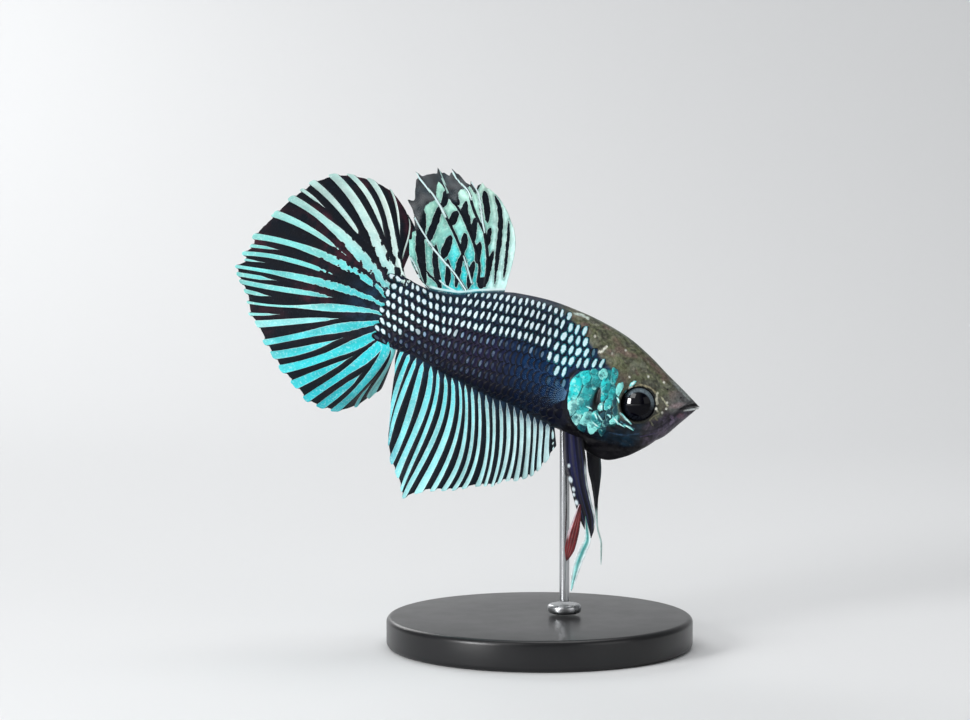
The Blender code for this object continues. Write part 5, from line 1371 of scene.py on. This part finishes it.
def blade(name, line, widths, thick, colour_of, material, steps=110, across_=26, rays=3):
    """A narrow fin along a smooth line of (x, y, z) mm in the world, with a lens-shaped section; E runs from its rear edge to its front one."""
    t = np.linspace(0, 1, len(line))
    v = np.linspace(0, 1, steps)
    line = np.asarray(line, float)
    c = np.stack([curve(v, t, line[:, i]) for i in range(3)], -1)
    w = curve(v, np.linspace(0, 1, len(widths)), widths) / 2
    w = np.maximum(w * np.sqrt(np.clip((1 - v) / 0.05, 0, 1)), 0.03)
    e = np.linspace(-1, 1, across_)
    tang = np.gradient(c, axis=0)
    tang /= np.linalg.norm(tang, axis=1, keepdims=True)
    side = np.cross(np.array([0.0, -1.0, 0.0]), tang) * -1
    side /= np.linalg.norm(side, axis=1, keepdims=True)
    side = side * np.sign(side[:, :1] + 1e-9)
    nrm = np.cross(side, tang)
    V, E = np.meshgrid(v, e, indexing="ij")
    mid = c[:, None] + side[:, None] * (w[:, None] * E)[..., None]
    ridge = 0.035 * np.cos(E * np.pi * rays) * (w[:, None] > 0.25)
    half = np.maximum((thick / 2) * np.sqrt(np.clip(1 - (0.92 * E) ** 2, 0, 1)) * (1 - 0.5 * V) + ridge, 0.03)
    front, back = mid + nrm[:, None] * half[..., None], mid - nrm[:, None] * half[..., None]
    m = steps * across_
    pts = np.concatenate([front.reshape(-1, 3), back.reshape(-1, 3)]) * MM
    f = grid_faces(steps, across_)
    b = grid_faces(steps, across_, m, flip=True)
    ring = [(0, j) for j in range(across_)] + [(i, across_ - 1) for i in range(1, steps)] + [(steps - 1, j) for j in range(across_ - 2, -1, -1)] + [(i, 0) for i in range(steps - 2, 0, -1)]
    idx = np.array([i * across_ + j for i, j in ring])
    nxt = np.roll(idx, -1)
    faces = np.concatenate([f, b, np.stack([nxt, idx, idx + m, nxt + m], -1)])
    col = colour_of(V, E)
    uv1 = np.stack([0.02 + 0.44 * (E + 1) / 2, 0.02 + 0.96 * V], -1).reshape(-1, 2)
    uv2 = np.stack([0.54 + 0.44 * (E + 1) / 2, 0.02 + 0.96 * V], -1).reshape(-1, 2)
    ob = make_mesh(name, pts, faces, {"tint": np.concatenate([col.reshape(-1, 3)] * 2), "vv": np.concatenate([V.ravel()] * 2)}, uv=np.concatenate([uv1, uv2]), material=material)
    turn_out(ob)
    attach(ob, "root")
    return ob


def build_pelvics():
    k = Nodes("pelvic_fin")
    tint = k.attr("tint", True)
    fine = k.noise(1500, 3, 0.6)
    col = k.mix(k.ramp(fine, 0.35, 0.7, 0.0, 0.30), tint, (0.004, 0.004, 0.010))
    joints = k.math("SINE", k.math("MULTIPLY", k.attr("vv"), 190.0))
    k.bump(k.math("ADD", k.math("MULTIPLY", joints, 0.3), k.noise(2500, 2, 0.5)), 0.25, 0.00005)
    k.set(Base_Color=col, Roughness=k.ramp(fine, 0.3, 0.7, 0.36, 0.48), Specular_IOR_Level=0.25)
    navy, black, white, red = srgb(22, 24, 58), srgb(4, 5, 12), srgb(202, 216, 222), srgb(128, 40, 44)
    cyan, teal = srgb(150, 218, 216), srgb(36, 140, 138)

    def near_colour(V, E):
        c = np.zeros(V.shape + (3,)) + black
        c = blend(c, navy, np.exp(-(((E + 0.15) / 0.5) ** 2)) * smooth(0.80, 0.2, V))
        c = blend(c, white, smooth(0.74, 0.88, E) * smooth(0.20, 0.28, V) * smooth(0.93, 0.86, V) * (0.80 + 0.20 * np.sin(V * 46)))
        # fine pale rays down its length, and a row of uneven pale beads on the rear edge
        c = c * (1 + 0.45 * np.sin(E * 17 + 1.5 * np.sin(V * 5)))[..., None]
        c = blend(c, srgb(52, 58, 104), 0.5 * smooth(0.80, 0.98, np.sin(E * 11 + 2.0 * V)) * smooth(0.05, 0.2, V))
        for bv, be, bl, bw in ((0.36, -0.80, 0.030, 0.22), (0.45, -0.72, 0.022, 0.18), (0.50, -0.84, 0.018, 0.16), (0.58, -0.78, 0.030, 0.20), (0.68, -0.70, 0.020, 0.16), (0.24, -0.60, 0.016, 0.12)):
            c = blend(c, white, smooth(1.25, 0.6, np.hypot((V - bv) / bl, (E - be) / bw)))
        return c

    def red_colour(V, E):
        c = np.zeros(V.shape + (3,)) + red * (0.40 + 0.75 * np.sin(E[..., None] * 6 + 0.6 + 0.8 * np.sin(V[..., None] * 4)) ** 2)
        c = c * (1 + 0.35 * noise2(V * 9, E * 3, 71))[..., None]
        c = blend(c, srgb(40, 14, 26), smooth(0.86, 1.0, V) * 0.7 + smooth(0.6, 0.95, E) * 0.6 + smooth(0.16, 0.0, V) * 0.8)
        return blend(c, srgb(214, 196, 204), smooth(-0.55, -0.75, E) * smooth(0.66, 0.45, V))

    def cyan_colour(V, E):
        c = np.zeros(V.shape + (3,)) + cyan
        c = blend(c, srgb(222, 236, 238), smooth(0.25, 0.75, np.abs(E)))
        c = blend(c, black, smooth(0.16, 0.02, V + 0.05 * np.sin(E * 5)))
        return blend(c, teal, np.exp(-(((E + 0.1) / 0.26) ** 2)) * smooth(0.78, 0.5, V))

    def far_colour(V, E):
        c = np.zeros(V.shape + (3,)) + black
        c = blend(c, srgb(70, 92, 98), smooth(0.66, 0.9, E) * 0.55 * smooth(0.45, 0.2, V))
        return blend(c, srgb(176, 204, 200), smooth(0.52, 0.60, V))

    near = blade("pelvic_fin_right", [(4.16, -0.45, 28.8), (4.50, -2.0, 24.6), (4.98, -2.5, 21.7), (5.60, -2.65, 19.1), (6.20, -2.7, 16.9), (6.62, -2.7, 14.5)], (2.5, 2.9, 2.3, 2.15, 1.9, 0.35), 0.42, near_colour, k.m)
    blade("pelvic_red_right", [(5.20, -2.75, 18.9), (4.72, -2.82, 16.7), (4.28, -2.85, 15.0), (3.90, -2.85, 13.3), (3.42, -2.8, 11.5)], (0.35, 1.05, 1.42, 1.30, 0.25), 0.24, red_colour, k.m, rays=4)
    blade("pelvic_cyan_right", [(5.90, -2.80, 17.4), (6.15, -2.9, 14.6), (5.55, -2.92, 12.9), (4.84, -2.93, 11.1), (4.40, -2.95, 9.4), (4.02, -2.95, 7.6)], (0.12, 0.80, 1.08, 1.02, 0.75, 0.25), 0.3, cyan_colour, k.m, rays=2)
    far = blade("pelvic_fin_left", [(6.70, 0.5, 28.6), (7.20, 1.9, 23.6), (7.40, 2.15, 20.9), (7.45, 2.2, 18.4), (7.62, 2.2, 15.4), (8.15, 2.2, 12.9), (8.12, 2.1, 10.3)], (1.8, 1.8, 1.15, 0.5, 0.24, 0.24, 0.16), 0.4, far_colour, k.m, rays=1)
    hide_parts("pelvic_right")
    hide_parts("pelvic_left")


# ------------------------------------------------------------------ stand
def turned(name, node, profile, material, around):
    """A turned piece about its node's own axis: profile as (radius, height above the node's foot) mm, from the bottom's middle to the top's."""
    lo_, hi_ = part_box(node)
    cx, cy, z0 = (lo_[0] + hi_[0]) / 2, (lo_[1] + hi_[1]) / 2, lo_[2]
    prof = np.array(profile, float)
    th = np.linspace(0, 2 * math.pi, around, endpoint=False)
    ring = prof[1:-1]
    pts = np.stack([cx + ring[:, None, 0] * MM * np.cos(th), cy + ring[:, None, 0] * MM * np.sin(th), z0 + ring[:, None, 1] * MM + 0 * th], -1).reshape(-1, 3)
    n = len(ring)
    faces = grid_faces(n, around, wrap_v=True).tolist()
    pts = np.concatenate([pts, [[cx, cy, z0 + prof[0, 1] * MM], [cx, cy, z0 + prof[-1, 1] * MM]]])
    faces += [[n * around, (j + 1) % around, j] for j in range(around)] + [[n * around + 1, (n - 1) * around + j, (n - 1) * around + (j + 1) % around] for j in range(around)]
    run = np.concatenate([[0], np.cumsum(np.hypot(*np.diff(prof, axis=0).T))])
    run /= run[-1]
    uv = np.concatenate([np.stack([0 * th[None] + run[1:-1, None], np.repeat((th / (2 * math.pi))[None], n, 0)], -1).reshape(-1, 2), [[0, 0.5], [1, 0.5]]])
    ob = make_mesh(name, pts, faces, uv=uv, material=material)
    turn_out(ob)
    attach(ob, "root")
    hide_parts(node)
    return ob


def rounded(radius, low, high, fillet, steps=7):
    """Profile of a disc with rounded edges."""
    out = [(0, low), (radius * 0.5, low), (radius - fillet, low)]
    out += [(radius - fillet + fillet * math.sin(t), low + fillet - fillet * math.cos(t)) for t in np.linspace(0, math.pi / 2, steps)[1:]]
    out += [(radius - fillet + fillet * math.cos(t), high - fillet + fillet * math.sin(t)) for t in np.linspace(0, math.pi / 2, steps)]
    return out + [(radius * 0.5, high), (0, high)]


def finish_stand():
    k = Nodes("stand_lacquer")
    n = k.noise(300, 4, 0.55)
    dust = k.noise(2600, 3, 0.6)
    k.bump(k.noise(1500, 3, 0.5), 0.03, 0.00003)
    base = k.mix(k.ramp(n, 0.3, 0.75), srgb(21, 21, 23), srgb(24, 24, 26))
    k.set(Base_Color=k.mix(k.ramp(dust, 0.70, 0.84, 0.0, 0.10), base, srgb(70, 70, 72)), Roughness=k.ramp(n, 0.2, 0.8, 0.30, 0.34), Specular_IOR_Level=0.4)
    s = Nodes("stand_steel")
    co = s.coords()
    sep = s.new("ShaderNodeSeparateXYZ")
    s.link(co, sep.inputs[0])
    lines = s.noise(1.0, 3, 0.6, vector=s.combine(s.math("MULTIPLY", sep.outputs[0], 900), s.math("MULTIPLY", sep.outputs[1], 900), s.math("MULTIPLY", sep.outputs[2], 60)))
    s.bump(lines, 0.03, 0.00002)
    s.set(Base_Color=s.mix(s.ramp(lines, 0.3, 0.7), srgb(150, 152, 155), srgb(186, 188, 190)), Metallic=1.0, Roughness=s.ramp(lines, 0.3, 0.7, 0.22, 0.32))
    size = lambda node: [(b - a) / MM for a, b in zip(*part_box(node))]
    bx, _, bz = size("stand_base")
    turned("stand_base_turned", "stand_base", [(0, 0), (bx * 0.25, 0), (bx / 2 - 0.6, 0)] + rounded(bx / 2, 0.0, bz, 0.7)[3:], k.m, 220)
    cx, _, cz = size("stand_collar")
    turned("stand_collar_turned", "stand_collar", rounded(cx / 2, 0.0, cz, min(0.45, cz * 0.4)), s.m, 96)
    rx, _, rz = size("stand_rod")
    turned("stand_rod_turned", "stand_rod", [(0, 0), (rx / 4, 0), (rx / 2, 0.05)] + [(rx / 2, z) for z in np.linspace(0.2, rz + 0.6, 40)] + [(rx / 4, rz + 0.7), (0, rz + 0.7)], s.m, 64)


# ------------------------------------------------------------------ stage, lights and camera
def stage():
    depth, rise, n = 0.9, 0.5, 28
    prof = [(-0.8, 0.0), (0.25, 0.0)]
    for i in range(1, n + 1):
        t = i / n * math.pi / 2
        prof.append((0.25 + 0.35 * math.sin(t), 0.35 - 0.35 * math.cos(t)))
    prof.append((0.6, 1.2))
    pts = np.array([[x, y, z] for x in (-1.4, 1.4) for y, z in prof])
    m = len(prof)
    faces = [[i, i + 1, m + i + 1, m + i] for i in range(m - 1)]
    k = Nodes("stage_paper")
    k.set(Base_Color=srgb(226, 227, 228), Roughness=0.9, Specular_IOR_Level=0.2)
    ob = make_mesh("stage_sweep", pts, faces, material=k.m)

    def area(name, loc, size, power, target=(-0.006, 0, 0.035), colour=(1, 1, 1)):
        light = bpy.data.lights.new(name, "AREA")
        light.shape, light.size, light.energy, light.color = "RECTANGLE", size[0], power, colour
        light.size_y = size[1]
        ob_ = bpy.data.objects.new(name, light)
        ob_.location = loc
        d = Vector(target) - Vector(loc)
        ob_.rotation_euler = d.to_track_quat("-Z", "Y").to_euler()
        bpy.context.scene.collection.objects.link(ob_)
        return ob_
    area("key", (-0.28, -0.42, 0.52), (0.32, 0.32), 0.7)
    area("catch", (-0.36, -0.30, 0.14), (0.15, 0.23), 2.2, target=(0.02, 0.0, 0.033))
    area("fill", (0.50, -0.40, 0.22), (0.40, 0.40), 0.7)
    area("top", (0.05, 0.10, 0.60), (0.45, 0.35), 1.45)
    area("rim", (-0.25, 0.42, 0.30), (0.25, 0.25), 0.75)
    world = bpy.data.worlds.new("studio")
    world.use_nodes = True
    world.node_tree.nodes["Background"].inputs[0].default_value = (0.86, 0.88, 0.90, 1)
    world.node_tree.nodes["Background"].inputs[1].default_value = 0.20
    bpy.context.scene.world = world
    bpy.context.scene.view_settings.view_transform = "Standard"

    cam = bpy.data.cameras.new("camera")
    cam.lens, cam.sensor_width = 100.0, 36.0
    cam.clip_start = 0.01
    elev, dist = VIEW_ELEV, VIEW_DIST * MM
    target = Vector((VIEW_X * MM, 0.0, VIEW_Z * MM))
    cob = bpy.data.objects.new("camera", cam)
    cob.location = target + Vector((0, -math.cos(elev), math.sin(elev))) * dist
    cob.rotation_euler = (target - cob.location).to_track_quat("-Z", "Y").to_euler()
    bpy.context.scene.collection.objects.link(cob)
    bpy.context.scene.camera = cob


stage()
build_skin()
body_scales()
gill_plates()
gill_flecks()
build_eyes()
build_caudal()
build_anal()
build_dorsal()
build_pectorals()
build_pelvics()
finish_stand()
